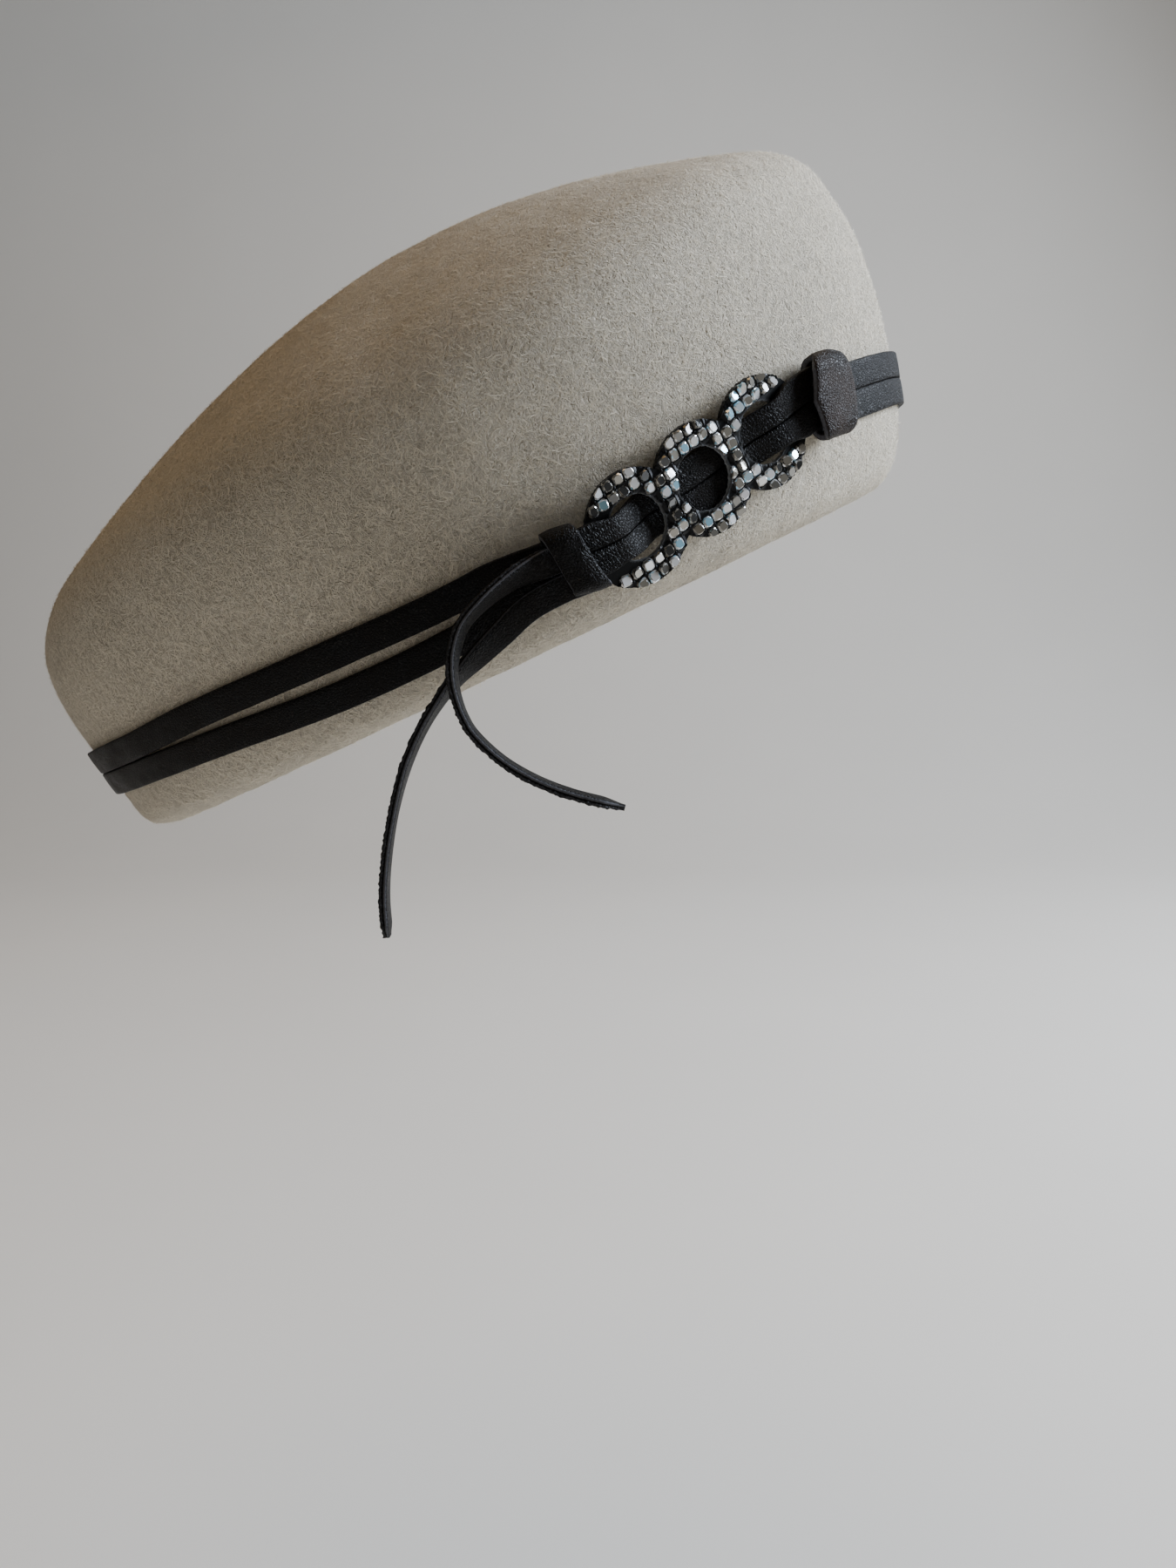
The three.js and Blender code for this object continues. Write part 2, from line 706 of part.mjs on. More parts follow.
// Corners of a flat leather section with its edges eased, as shares of half width and half
// thickness.
const SECTION_CORNERS = [
  { across: 1, off: 0.45 },
  { across: 0.9, off: 1 },
  { across: -0.9, off: 1 },
  { across: -1, off: 0.45 },
  { across: -1, off: -0.45 },
  { across: -0.9, off: -1 },
  { across: 0.9, off: -1 },
  { across: 1, off: -0.45 },
];

// Places round the strap where a strip has a section: close together at the trim and keepers.
const TRIM_STEP = 2.6;
const CROWN_STEP = 9.5;

function stripStations() {
  const stations = [];
  const closeCount = Math.round((closeEnd - closeStart) / TRIM_STEP);
  for (let i = 0; i < closeCount; i += 1) {
    stations.push(mix(closeStart, closeEnd, i / closeCount));
  }
  const rest = STRAP_LENGTH - (closeEnd - closeStart);
  const restCount = Math.round(rest / CROWN_STEP);
  for (let i = 0; i < restCount; i += 1) {
    stations.push(closeEnd + (rest * i) / restCount);
  }
  return stations;
}

function makeStrip(side) {
  const rings = stripStations().map((length) => {
    const wrapped = THREE.MathUtils.euclideanModulo(length, STRAP_LENGTH);
    const frame = strapFrame(wrapped);
    const spread = Math.max(strapValue(frame.bearing, 'spread'), 0) * STRIP_SPREAD;
    const pinch = stripPinch(wrapped);
    const middle = seamShift(wrapped) + (side * (CLEARANCE + spread + STRIP_WIDTH * pinch)) / 2;
    const level = stripLevel(wrapped);
    return SECTION_CORNERS.map((corner) => onStrap(
      wrapped,
      middle + (corner.across * STRIP_WIDTH * pinch) / 2,
      level + (corner.off * STRIP_THICKNESS) / 2,
    ));
  });
  return loft(rings, true);
}

// Keepers

// A leather loop that goes round what it holds: a rounded box path across the strap. It follows
// the strips' height, and layers is the height of what it holds.
function makeKeeper(middle, width, layers, lean) {
  const slope = Math.tan(radians(lean));
  const low = -STRIP_THICKNESS / 2 - CLEARANCE;
  const centreAcross = STRAP_HALF + KEEPER_SIDE_GAP + KEEPER_THICKNESS / 2;
  const centreTall = (layers + KEEPER_THICKNESS) / 2;
  const centreOff = low + layers / 2;
  const corner = Math.min(centreTall, KEEPER_CORNER);
  const rings = [];
  for (const [sideways, upward] of [[1, 1], [-1, 1], [-1, -1], [1, -1]]) {
    for (let i = 0; i <= KEEPER_CORNER_STEPS; i += 1) {
      const start = Math.atan2(upward, sideways) - Math.PI / 4;
      const turn = start + (i / KEEPER_CORNER_STEPS) * (Math.PI / 2);
      const out = new THREE.Vector2(Math.cos(turn), Math.sin(turn));
      const across = sideways * (centreAcross - corner) + out.x * corner;
      const off = centreOff + upward * (centreTall - corner) + out.y * corner;
      rings.push(SECTION_CORNERS.map((section) => {
        const length = middle + (section.across * width) / 2 + across * slope;
        const thick = (section.off * KEEPER_THICKNESS) / 2;
        return onStrap(length, across + out.x * thick, stripLevel(length) + off + out.y * thick);
      }));
    }
  }
  return loft(rings, true);
}

const frontLayers = STRIP_THICKNESS + 2 * CLEARANCE + KEEPER_FRONT_SLACK;
const rearLayers = STRIP_THICKNESS + TAIL_THICKNESS + 3 * CLEARANCE + KEEPER_REAR_SLACK;

const frontKeeper = makeKeeper(keeperFrontMiddle, KEEPER_FRONT_WIDTH, frontLayers, KEEPER_FRONT_LEAN);
const rearKeeper = makeKeeper(keeperRearMiddle, KEEPER_REAR_WIDTH, rearLayers, KEEPER_REAR_LEAN);

// Tails

const VIEW_SIDE = new THREE.Vector3(0, -1, 0);
const TAIL_STEP = 4;

// A tail's middle line. The section's width turns along it as its route says.
class TailLine extends THREE.CatmullRomCurve3 {
  constructor(route) {
    super(route.map((row) => new THREE.Vector3(row.x, row.y, row.z)), false, 'centripetal');
    this.turns = route.map((row) => row.turn);
  }

  turnAt(share) {
    const at = this.getUtoTmapping(share) * (this.turns.length - 1);
    const row = Math.min(Math.floor(at), this.turns.length - 2);
    return radians(mix(this.turns[row], this.turns[row + 1], at - row));
  }

  computeFrenetFrames(segments) {
    const frames = { tangents: [], normals: [], binormals: [] };
    for (let i = 0; i <= segments; i += 1) {
      const tangent = this.getTangentAt(i / segments);
      const edgeOn = VIEW_SIDE.clone().addScaledVector(tangent, -VIEW_SIDE.dot(tangent)).normalize();
      const flatOn = tangent.clone().cross(edgeOn);
      const turn = this.turnAt(i / segments);
      const width = edgeOn.multiplyScalar(Math.cos(turn)).addScaledVector(flatOn, Math.sin(turn));
      frames.tangents.push(tangent);
      frames.normals.push(width);
      frames.binormals.push(tangent.clone().cross(width));
    }
    return frames;
  }
}

function makeTail(route) {
  const line = new TailLine(route);
  const section = new THREE.Shape(SECTION_CORNERS.map((corner) => new THREE.Vector2(
    (corner.across * TAIL_WIDTH) / 2,
    (corner.off * TAIL_THICKNESS) / 2,
  )));
  return new THREE.ExtrudeGeometry(section, {
    steps: Math.round(line.getLength() / TAIL_STEP),
    extrudePath: line,
  });
}

// Materials

const felt = new THREE.MeshStandardMaterial({ color: 0xcfc3b2, roughness: 0.95, metalness: 0 });
const leather = new THREE.MeshStandardMaterial({ color: 0x1d1a19, roughness: 0.62, metalness: 0 });
const leatherPale = new THREE.MeshStandardMaterial({ color: 0x2b2622, roughness: 0.6, metalness: 0 });
const crystal = new THREE.MeshStandardMaterial({ color: 0xaab4bb, roughness: 0.15, metalness: 0.6 });

const tilted = new THREE.Group();
tilted.rotation.y = -radians(TILT_BACK);

function addPiece(name, geometry, material, parent) {
  const mesh = new THREE.Mesh(geometry, material);
  mesh.name = name;
  parent.add(mesh);
}

const hat = new THREE.Group();
hat.add(tilted);
addPiece('hat_crown', makeCrown(), felt, tilted);
addPiece('strip_upper', makeStrip(1), leather, tilted);
addPiece('strip_lower', makeStrip(-1), leather, tilted);
addPiece('ring_trim', makeRingTrim(), crystal, tilted);
addPiece('keeper_front', frontKeeper, leatherPale, tilted);
addPiece('keeper_rear', rearKeeper, leather, tilted);
addPiece('tail_curled', makeTail(TAIL_CURLED_ROUTE), leather, hat);
addPiece('tail_long', makeTail(TAIL_LONG_ROUTE), leather, hat);

export default hat;
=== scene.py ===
"""Dresses a cream felt pillbox hat: felt, leather strips, keepers and tails, and a crystal ring trim.

Lengths are in metres in the row frame: +X is the hat's front, +Z is up and the origin is the middle of
the head opening. The hat's own axes are turned back about Y, and HatForm.to_row brings points from them.
"""

import logging
import math
import random
from dataclasses import dataclass
from enum import Enum

import bmesh
import bpy
import numpy as np
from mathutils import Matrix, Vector, noise

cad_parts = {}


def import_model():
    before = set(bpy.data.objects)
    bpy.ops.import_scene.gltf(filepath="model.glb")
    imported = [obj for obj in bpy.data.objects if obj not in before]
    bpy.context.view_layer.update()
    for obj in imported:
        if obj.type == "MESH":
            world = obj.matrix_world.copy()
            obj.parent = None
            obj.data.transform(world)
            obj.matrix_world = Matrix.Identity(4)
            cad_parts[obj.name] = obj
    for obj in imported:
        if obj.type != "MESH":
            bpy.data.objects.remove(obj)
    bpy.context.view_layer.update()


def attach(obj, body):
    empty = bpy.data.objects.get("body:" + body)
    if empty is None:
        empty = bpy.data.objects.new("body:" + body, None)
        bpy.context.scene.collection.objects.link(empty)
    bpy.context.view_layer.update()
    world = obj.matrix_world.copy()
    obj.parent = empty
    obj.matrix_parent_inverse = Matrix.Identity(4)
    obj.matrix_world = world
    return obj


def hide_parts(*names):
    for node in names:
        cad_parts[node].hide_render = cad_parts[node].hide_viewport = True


MM = 0.001
BODY = "root"
TURN = 2 * math.pi
LOG = logging.getLogger("pillbox_hat")


class Slot(Enum):
    """Material slots of the record."""

    FELT = "felt"
    LEATHER = "leather"
    CRYSTAL = "crystal"


class Side(Enum):
    """Which of the two strips, by its side of the strap line."""

    UPPER = 1
    LOWER = -1


def mix(start: float, end: float, share: float) -> float:
    """Value a share of the way from start to end."""
    return start + (end - start) * share


def ease(share: float) -> float:
    """Smooth step from 0 to 1."""
    share = min(max(share, 0.0), 1.0)
    return share * share * (3 - 2 * share)


def to_linear(colour: str) -> tuple:
    """Turns an sRGB hex colour to linear light.

    Args:
        colour: such as "#d8cdbb".

    Returns:
        Red, green, blue and an alpha of 1.
    """
    parts = [int(colour[i : i + 2], 16) / 255 for i in (1, 3, 5)]
    linear = [p / 12.92 if p <= 0.04045 else ((p + 0.055) / 1.055) ** 2.4 for p in parts]
    return (*linear, 1.0)


def catmull_rom(points: np.ndarray, steps: int) -> np.ndarray:
    """Smooth line through points, each span cut into steps.

    Args:
        points: the points along the first axis, with any further axes.
        steps: how many parts each span gets.

    Returns:
        The finer points, with the first and the last kept.
    """
    padded = np.concatenate([[2 * points[0] - points[1]], points, [2 * points[-1] - points[-2]]])
    fine = []
    for i in range(1, len(padded) - 2):
        a, b, c, d = padded[i - 1], padded[i], padded[i + 1], padded[i + 2]
        for k in range(steps):
            t = k / steps
            fine.append(
                0.5
                * (2 * b + (c - a) * t + (2 * a - 5 * b + 4 * c - d) * t**2 + (3 * b - a - 3 * c + d) * t**3)
            )
    fine.append(points[-1])
    return np.array(fine)


@dataclass(frozen=True)
class WallSection:
    """One height of the wall: climb is a share of the wall, the rest are shares of the reach."""

    climb: float
    front: float
    side: float
    back: float


@dataclass(frozen=True)
class StrapPoint:
    """One bearing of the strap line: height is a share of the strap height, spread of the gap."""

    bearing: float
    height: float
    spread: float


@dataclass(frozen=True)
class HatForm:
    """The felt crown's sizes and its outside surface, in the hat's own axes."""

    tilt: float = math.radians(25.3)
    opening_half_length: float = 99 * MM
    opening_half_width: float = 82 * MM
    front: float = 120.5 * MM
    side: float = 100 * MM
    back: float = 113.5 * MM
    edge_front: float = 80 * MM
    edge_side: float = 58.5 * MM
    edge_back: float = 54.5 * MM
    tip_height: float = 104.5 * MM
    tip_forward: float = 25 * MM
    dome_power: float = 1.7
    round_front: float = 8 * MM
    round_side: float = 15 * MM
    round_back: float = 11 * MM
    edge_sweep: float = 1.25
    round_sweep: float = 1.5
    normal_turn: float = math.radians(2)
    felt_thickness: float = 2.8 * MM
    sharp_edge: WallSection = WallSection(1.0, 0.81, 0.95, 0.9)
    tip_shares: tuple = (0, 0.14, 0.32, 0.54, 0.77)
    round_shares: tuple = (0.25, 0.5, 0.75)
    wall: tuple = (
        WallSection(0.0, 0.0, 0.0, 0.0),
        WallSection(0.0, 0.13, 0.15, 0.19),
        WallSection(0.02, 0.27, 0.32, 0.42),
        WallSection(0.06, 0.43, 0.48, 0.64),
        WallSection(0.13, 0.58, 0.6, 0.74),
        WallSection(0.22, 0.7, 0.69, 0.78),
        WallSection(0.34, 0.8, 0.78, 0.82),
        WallSection(0.48, 0.9, 0.87, 0.87),
        WallSection(0.63, 0.97, 0.94, 0.93),
        WallSection(0.77, 1.0, 0.98, 0.98),
        WallSection(0.89, 0.96, 1.0, 1.0),
        WallSection(1.0, 0.89, 0.99, 0.98),
    )

    def to_row(self, points: np.ndarray) -> np.ndarray:
        """Turns points from the hat's own axes to the row frame.

        Args:
            points: an array whose last axis is x, y, z.

        Returns:
            The turned points.
        """
        cosine, sine = math.cos(self.tilt), math.sin(self.tilt)
        x, y, z = points[..., 0], points[..., 1], points[..., 2]
        return np.stack([x * cosine - z * sine, y, x * sine + z * cosine], axis=-1)

    def around(self, angle: float, front: float, side: float, back: float, sweep: float) -> float:
        """A size that goes from front to side to back as the bearing does."""
        forward = math.cos(angle)
        return mix(side, front if forward > 0 else back, abs(forward) ** sweep)

    def edge_height(self, angle: float) -> float:
        """Height of the crown's edge at a bearing."""
        return self.around(angle, self.edge_front, self.edge_side, self.edge_back, self.edge_sweep)

    def edge_round(self, angle: float) -> float:
        """Where the edge's rounding starts at a bearing."""
        return self.around(angle, self.round_front, self.round_side, self.round_back, self.round_sweep)

    def wall_height(self, angle: float) -> float:
        """Height of the wall below the edge's rounding."""
        return self.edge_height(angle) - self.edge_round(angle)

    def crown_point(self, angle: float, shares: WallSection, height: float) -> Vector:
        """A point of the outside for shares of the reach and a height."""
        forward = math.cos(angle)
        front = mix(self.opening_half_length, self.front, shares.front)
        back = mix(self.opening_half_length, self.back, shares.back)
        side = mix(self.opening_half_width, self.side, shares.side)
        reach = front if forward > 0 else back
        return Vector((reach * forward, side * math.sin(angle), height))

    def tip_point(self, angle: float, share: float) -> Vector:
        """A point of the domed tip, a share of the way from the sharp edge to its top."""
        edge = self.crown_point(angle, self.sharp_edge, self.edge_height(angle))
        left = (1 - share) ** self.dome_power
        x = mix(self.tip_forward, edge.x, 1 - share)
        return Vector((x, edge.y * (1 - share), mix(self.tip_height, edge.z, left)))

    def column(self, angle: float) -> list:
        """Outside points of one bearing, from the lip to just below the top.

        Args:
            angle: bearing from the front, in radians.

        Returns:
            A list of vectors.
        """
        wall_height = self.wall_height(angle)
        points = [self.crown_point(angle, row, row.climb * wall_height) for row in self.wall]
        edge = self.crown_point(angle, self.sharp_edge, self.edge_height(angle))
        run = math.hypot(edge.x - self.tip_forward, edge.y)
        start = self.edge_round(angle) / run
        low, high = points[-1], self.tip_point(angle, start)
        for share in self.round_shares:
            left = 1 - share
            points.append(low * left**2 + edge * (2 * left * share) + high * share**2)
        points.extend(self.tip_point(angle, mix(start, 1, share)) for share in self.tip_shares)
        return points

    def felt_at(self, angle: float, height: float) -> Vector:
        """The outside of the wall at a bearing and a height."""
        climb = height / self.wall_height(angle)
        i = 1
        while i < len(self.wall) - 2 and self.wall[i + 1].climb < climb:
            i += 1
        low, high = self.wall[i], self.wall[i + 1]
        t = (climb - low.climb) / (high.climb - low.climb)
        shares = WallSection(
            climb,
            mix(low.front, high.front, t),
            mix(low.side, high.side, t),
            mix(low.back, high.back, t),
        )
        return self.crown_point(angle, shares, height)

    def felt_normal(self, angle: float, height: float, reach: float) -> Vector:
        """Outward normal of the wall, averaged over a reach up and down."""
        ahead = self.felt_at(angle + self.normal_turn, height)
        behind = self.felt_at(angle - self.normal_turn, height)
        up = self.felt_at(angle, height + reach) - self.felt_at(angle, height - reach)
        return (ahead - behind).cross(up).normalized()


@dataclass(frozen=True)
class StrapSizes:
    """Sizes of the strips, the keepers and the trim, and the line that they follow.

    The rear keeper's leather is trimmed a little narrower than the room it takes on the line.
    """

    strip_width: float = 5.9 * MM
    strip_thickness: float = 1.5 * MM
    strip_spread: float = 2.4 * MM
    strap_height: float = 22 * MM
    keeper_thickness: float = 1.4 * MM
    keeper_front_width: float = 10.5 * MM
    keeper_rear_width: float = 7 * MM
    keeper_rear_trim: float = 1 * MM
    keeper_front_gap: float = 1.2 * MM
    keeper_front_slack: float = 1.8 * MM
    keeper_rear_slack: float = 0.5 * MM
    keeper_side_gap: float = 0.7 * MM
    keeper_front_lean: float = math.radians(-5)
    keeper_rear_lean: float = math.radians(-7)
    keeper_drop: float = 0.9 * MM
    settle_length: float = 14 * MM
    gather_reach: float = 17 * MM
    gather_share: float = 0.2
    gather_shift: float = 1.4 * MM
    tail_width: float = 5.4 * MM
    tail_thickness: float = 1.6 * MM
    trim_bearing: float = -63.9
    trim_height: float = 18.2 * MM
    trim_slope: float = math.radians(10.5)
    trim_bend_radius: float = 200 * MM
    trim_toe: float = math.radians(2)
    trim_hold: float = 11
    trim_fade: float = 24
    ring_outer: float = 22.5 * MM
    ring_hole: float = 12.5 * MM
    ring_spacing: float = 17.1 * MM
    plate_thickness: float = 1 * MM
    stone_pitch: float = 2.5 * MM
    stone_diameter: float = 2.1 * MM
    stone_rise: float = 0.8 * MM
    clearance: float = 0.3 * MM
    crossing_share: float = 0.385
    pinch: float = 0.22
    pinch_full_share: float = 0.32
    pinch_end_share: float = 0.75
    line: tuple = (
        StrapPoint(-180, 0.92, 0),
        StrapPoint(-150, 0.82, 0),
        StrapPoint(-138, 0.775, 0.02),
        StrapPoint(-124, 0.73, 0.45),
        StrapPoint(-104, 0.63, 0.95),
        StrapPoint(-90, 0.63, 0.55),
        StrapPoint(-78, 0.77, 0),
        StrapPoint(-64, 0.83, 0),
        StrapPoint(-50, 1.03, 0),
        StrapPoint(-36, 1.01, 0),
        StrapPoint(-14, 1.01, 0),
        StrapPoint(20, 0.97, 0.02),
        StrapPoint(60, 0.84, 0.3),
        StrapPoint(100, 0.75, 0.3),
        StrapPoint(145, 0.82, 0.1),
    )
    seam_shifts: tuple = (0, 0.2 * MM, -0.9 * MM, -0.2 * MM, 0)

    @property
    def strap_half(self) -> float:
        """Half the width of both strips side by side."""
        return self.strip_width + self.clearance / 2

    @property
    def trim_half(self) -> float:
        """Half the length of the ring trim."""
        return self.ring_spacing + self.ring_outer / 2

    @property
    def felt_level(self) -> float:
        """Height of a strip's middle where it lies on the felt."""
        return self.clearance + self.strip_thickness / 2

    @property
    def ring_centres(self) -> tuple:
        """Places of the rings along the strap line, rear to front."""
        return (-self.ring_spacing, 0.0, self.ring_spacing)


class StrapLine:
    """The line between the two strips on the felt, read by its length from the trim's middle."""

    WALK_STEPS = 720
    BISECT_STEPS = 24
    DIRECTION_REACH = 4

    def __init__(self, form: HatForm, sizes: StrapSizes) -> None:
        """Walks the line once round the crown.

        Args:
            form: the crown.
            sizes: the strap's sizes.
        """
        self.form = form
        self.sizes = sizes
        angle = math.radians(sizes.trim_bearing)
        self.trim_middle = form.felt_at(angle, sizes.trim_height)
        out = form.felt_normal(angle, sizes.trim_height, sizes.strip_width)
        level = Vector((0, 0, 1)).cross(out).normalized()
        along = level * math.cos(sizes.trim_slope) + out.cross(level) * math.sin(sizes.trim_slope)
        self.trim_across = out.cross(along)
        self.points, self.outs, self.bearings, self.lengths = [], [], [], []
        for i in range(self.WALK_STEPS + 1):
            self._walk_to(sizes.trim_bearing + i / self.WALK_STEPS * 360)
        self.length = self.lengths[-1]
        ends = (self.place(-sizes.ring_spacing, 0, 0) + self.place(sizes.ring_spacing, 0, 0)) / 2
        sag = (self.points[0] - ends).dot(self.outs[0])
        felt_bend = sizes.ring_spacing**2 / (2 * sag)
        self.flattening = 1 / felt_bend - 1 / sizes.trim_bend_radius
        self.toe = math.tan(sizes.trim_toe)
        self.plate_off = (
            2 * sizes.clearance + sizes.strip_thickness + self.toe**2 / (2 * self.flattening)
        )
        self.rear_keeper = -(sizes.trim_half + sizes.clearance + sizes.keeper_rear_width / 2)
        self.front_keeper = sizes.trim_half + sizes.keeper_front_gap + sizes.keeper_front_width / 2
        self.stops = self._lift_stops()

    def _walk_to(self, bearing: float) -> None:
        """Adds the line's point at a bearing to the walk."""
        bearing = (bearing + 180) % 360 - 180
        angle = math.radians(bearing)
        height = self.height(bearing)
        point = self.form.felt_at(angle, height)
        length = self.lengths[-1] + (point - self.points[-1]).length if self.points else 0.0
        self.points.append(point)
        self.lengths.append(length)
        self.bearings.append(bearing)
        self.outs.append(self.form.felt_normal(angle, height, self.sizes.strip_width))

    def value(self, bearing: float, column: str) -> float:
        """A value of the strap line's table at a bearing, smooth all the way round."""
        table = self.sizes.line
        count = len(table)
        wrapped = (bearing + 180) % 360 - 180
        i = count - 1
        while table[i].bearing > wrapped:
            i -= 1
        rows = []
        for k in (i - 1, i, i + 1, i + 2):
            turns = k // count
            source = table[k - turns * count]
            rows.append((source.bearing + turns * 360, getattr(source, column)))
        before, start, end, after = rows
        span = end[0] - start[0]
        t = (wrapped - start[0]) / span
        slope_start = (end[1] - before[1]) / (end[0] - before[0]) * span
        slope_end = (after[1] - start[1]) / (after[0] - start[0]) * span
        return (
            (2 * t**3 - 3 * t**2 + 1) * start[1]
            + (t**3 - 2 * t**2 + t) * slope_start
            + (3 * t**2 - 2 * t**3) * end[1]
            + (t**3 - t**2) * slope_end
        )

    def height(self, bearing: float) -> float:
        """Height of the strap line at a bearing in degrees."""
        table = self.value(bearing, "height") * self.sizes.strap_height
        away = abs(bearing - self.sizes.trim_bearing)
        if away >= self.sizes.trim_fade:
            return table
        share = ease((self.sizes.trim_fade - away) / (self.sizes.trim_fade - self.sizes.trim_hold))
        low, high = 0.0, self.form.edge_side
        angle = math.radians(bearing)
        for _ in range(self.BISECT_STEPS):
            middle = (low + high) / 2
            if (self.form.felt_at(angle, middle) - self.trim_middle).dot(self.trim_across) > 0:
                high = middle
            else:
                low = middle
        return mix(table, (low + high) / 2, share)

    def frame(self, length: float) -> tuple:
        """Point, outward normal, across direction and bearing at a length along the line."""
        wrapped = length % self.length
        low, high = 0, self.WALK_STEPS
        while high - low > 1:
            middle = (low + high) // 2
            if self.lengths[middle] <= wrapped:
                low = middle
            else:
                high = middle
        t = (wrapped - self.lengths[low]) / (self.lengths[high] - self.lengths[low])
        ahead = self.points[(low + self.DIRECTION_REACH) % self.WALK_STEPS]
        behind = self.points[(low - self.DIRECTION_REACH) % self.WALK_STEPS]
        along = (ahead - behind).normalized()
        out = self.outs[low].lerp(self.outs[high], t)
        out = (out - along * out.dot(along)).normalized()
        point = self.points[low].lerp(self.points[high], t)
        span = (self.bearings[high] - self.bearings[low]) % 360
        return point, out, out.cross(along), self.bearings[low] + t * span

    def place(self, length: float, across: float, off: float) -> Vector:
        """A point by length along the line, distance across it and height off the felt."""
        point, out, sideways, _ = self.frame(length)
        return point + sideways * across + out * off

    def signed(self, length: float) -> float:
        """A length measured either way from the trim's middle."""
        wrapped = length % self.length
        return wrapped - self.length if wrapped > self.length / 2 else wrapped

    def underside(self, length: float) -> float:
        """Height of the trim plate's underside off the felt."""
        return self.plate_off - self.toe * length + length**2 * self.flattening / 2

    def over_plate(self, length: float) -> float:
        """Height of the strips' middle where they lie on the plate."""
        sizes = self.sizes
        return self.underside(length) + sizes.plate_thickness + sizes.clearance + sizes.strip_thickness / 2

    def keeper_level(self, trim_end: float) -> float:
        """Height of the strips' middle in a keeper."""
        sizes = self.sizes
        lowest = 2 * sizes.clearance + sizes.keeper_thickness + sizes.strip_thickness / 2
        return max(self.over_plate(trim_end) - sizes.keeper_drop, lowest)

    def _lift_stops(self) -> list:
        """Places along the line and the height of the strips' middle there."""
        sizes = self.sizes
        half, spacing = sizes.trim_half, sizes.ring_spacing
        crossing = sizes.ring_hole * sizes.crossing_share
        rear_edge = self.rear_keeper - sizes.keeper_rear_width / 2
        front_edge = self.front_keeper + sizes.keeper_front_width / 2
        return [
            (rear_edge - sizes.settle_length, sizes.felt_level),
            (rear_edge, self.keeper_level(-half)),
            (-half, self.over_plate(-half)),
            (-spacing - crossing, self.over_plate(-half)),
            (-spacing + crossing, sizes.felt_level),
            (spacing - crossing, sizes.felt_level),
            (spacing + crossing, self.over_plate(half)),
            (half, self.over_plate(half)),
            (front_edge, self.keeper_level(half)),
            (front_edge + sizes.settle_length, sizes.felt_level),
        ]

    def strip_level(self, length: float) -> float:
        """Height of the strips' middle off the felt at a length."""
        signed = self.signed(length)
        for (start, low), (end, high) in zip(self.stops, self.stops[1:]):
            if start < signed <= end:
                return mix(low, high, ease((signed - start) / (end - start)))
        return self.sizes.felt_level

    def strip_pinch(self, length: float) -> float:
        """Share of the strips' width that is left where they pass through the end rings' holes."""
        sizes = self.sizes
        away = abs(abs(self.signed(length)) - sizes.ring_spacing)
        full, end = sizes.ring_hole * sizes.pinch_full_share, sizes.ring_hole * sizes.pinch_end_share
        return 1 - sizes.pinch * ease((end - away) / (end - full))

    def squeeze(self, length: float) -> float:
        """How much, from 0 to 1, the rear keeper gathers the strips at a length."""
        return ease(1 - abs(self.signed(length) - self.rear_keeper) / self.sizes.gather_reach)

    def gather(self, length: float, across: float) -> float:
        """Moves a distance across the line to where the rear keeper's grip holds it."""
        grip = self.squeeze(length)
        return across * (1 - self.sizes.gather_share * grip) + self.sizes.gather_shift * grip

    def seam_shift(self, length: float) -> float:
        """How far the line between the strips lies above the rings' middles."""
        at = self.signed(length) / self.sizes.ring_spacing
        shifts = self.sizes.seam_shifts
        if not -2 <= at < 2:
            return 0.0
        ring = math.floor(at)
        return mix(shifts[ring + 2], shifts[ring + 3], ease(at - ring))


def mesh_from(
    name: str, points: np.ndarray, faces: list, smooth: bool = True, is_solid: bool = True
) -> bpy.types.Object:
    """Makes a mesh object at the origin. A solid's faces are turned outwards.

    Args:
        name: the piece's name.
        points: vertex places in the row frame.
        faces: lists of vertex numbers.
        smooth: whether its faces are shaded smooth.
        is_solid: whether the faces close round a solid.

    Returns:
        The linked object.
    """
    mesh = bpy.data.meshes.new(name)
    mesh.from_pydata(np.asarray(points).tolist(), [], faces)
    if is_solid:
        work = bmesh.new()
        work.from_mesh(mesh)
        bmesh.ops.recalc_face_normals(work, faces=work.faces)
        work.to_mesh(mesh)
        work.free()
    mesh.polygons.foreach_set("use_smooth", [smooth] * len(mesh.polygons))
    mesh.update()
    piece = bpy.data.objects.new(name, mesh)
    bpy.context.scene.collection.objects.link(piece)
    return piece


def ring_faces(rings: int, sides: int, is_loop: bool, is_capped: bool) -> list:
    """Faces between rings of points that follow each other.

    Args:
        rings: how many rings there are.
        sides: how many points each has.
        is_loop: whether the last ring joins the first.
        is_capped: whether the first and last ring are closed by a face.

    Returns:
        Lists of vertex numbers.
    """
    faces = []
    for i in range(rings if is_loop else rings - 1):
        here, there = i * sides, (i + 1) % rings * sides
        for j in range(sides):
            k = (j + 1) % sides
            faces.append([here + j, here + k, there + k, there + j])
    if is_capped:
        faces.append(list(range(sides))[::-1])
        faces.append([(rings - 1) * sides + j for j in range(sides)])
    return faces


def set_values(piece: bpy.types.Object, name: str, values: list, domain: str = "POINT") -> None:
    """Stores one number per vertex or face for the material to read."""
    attribute = piece.data.attributes.new(name, "FLOAT", domain)
    attribute.data.foreach_set("value", np.asarray(values, dtype=np.float32))


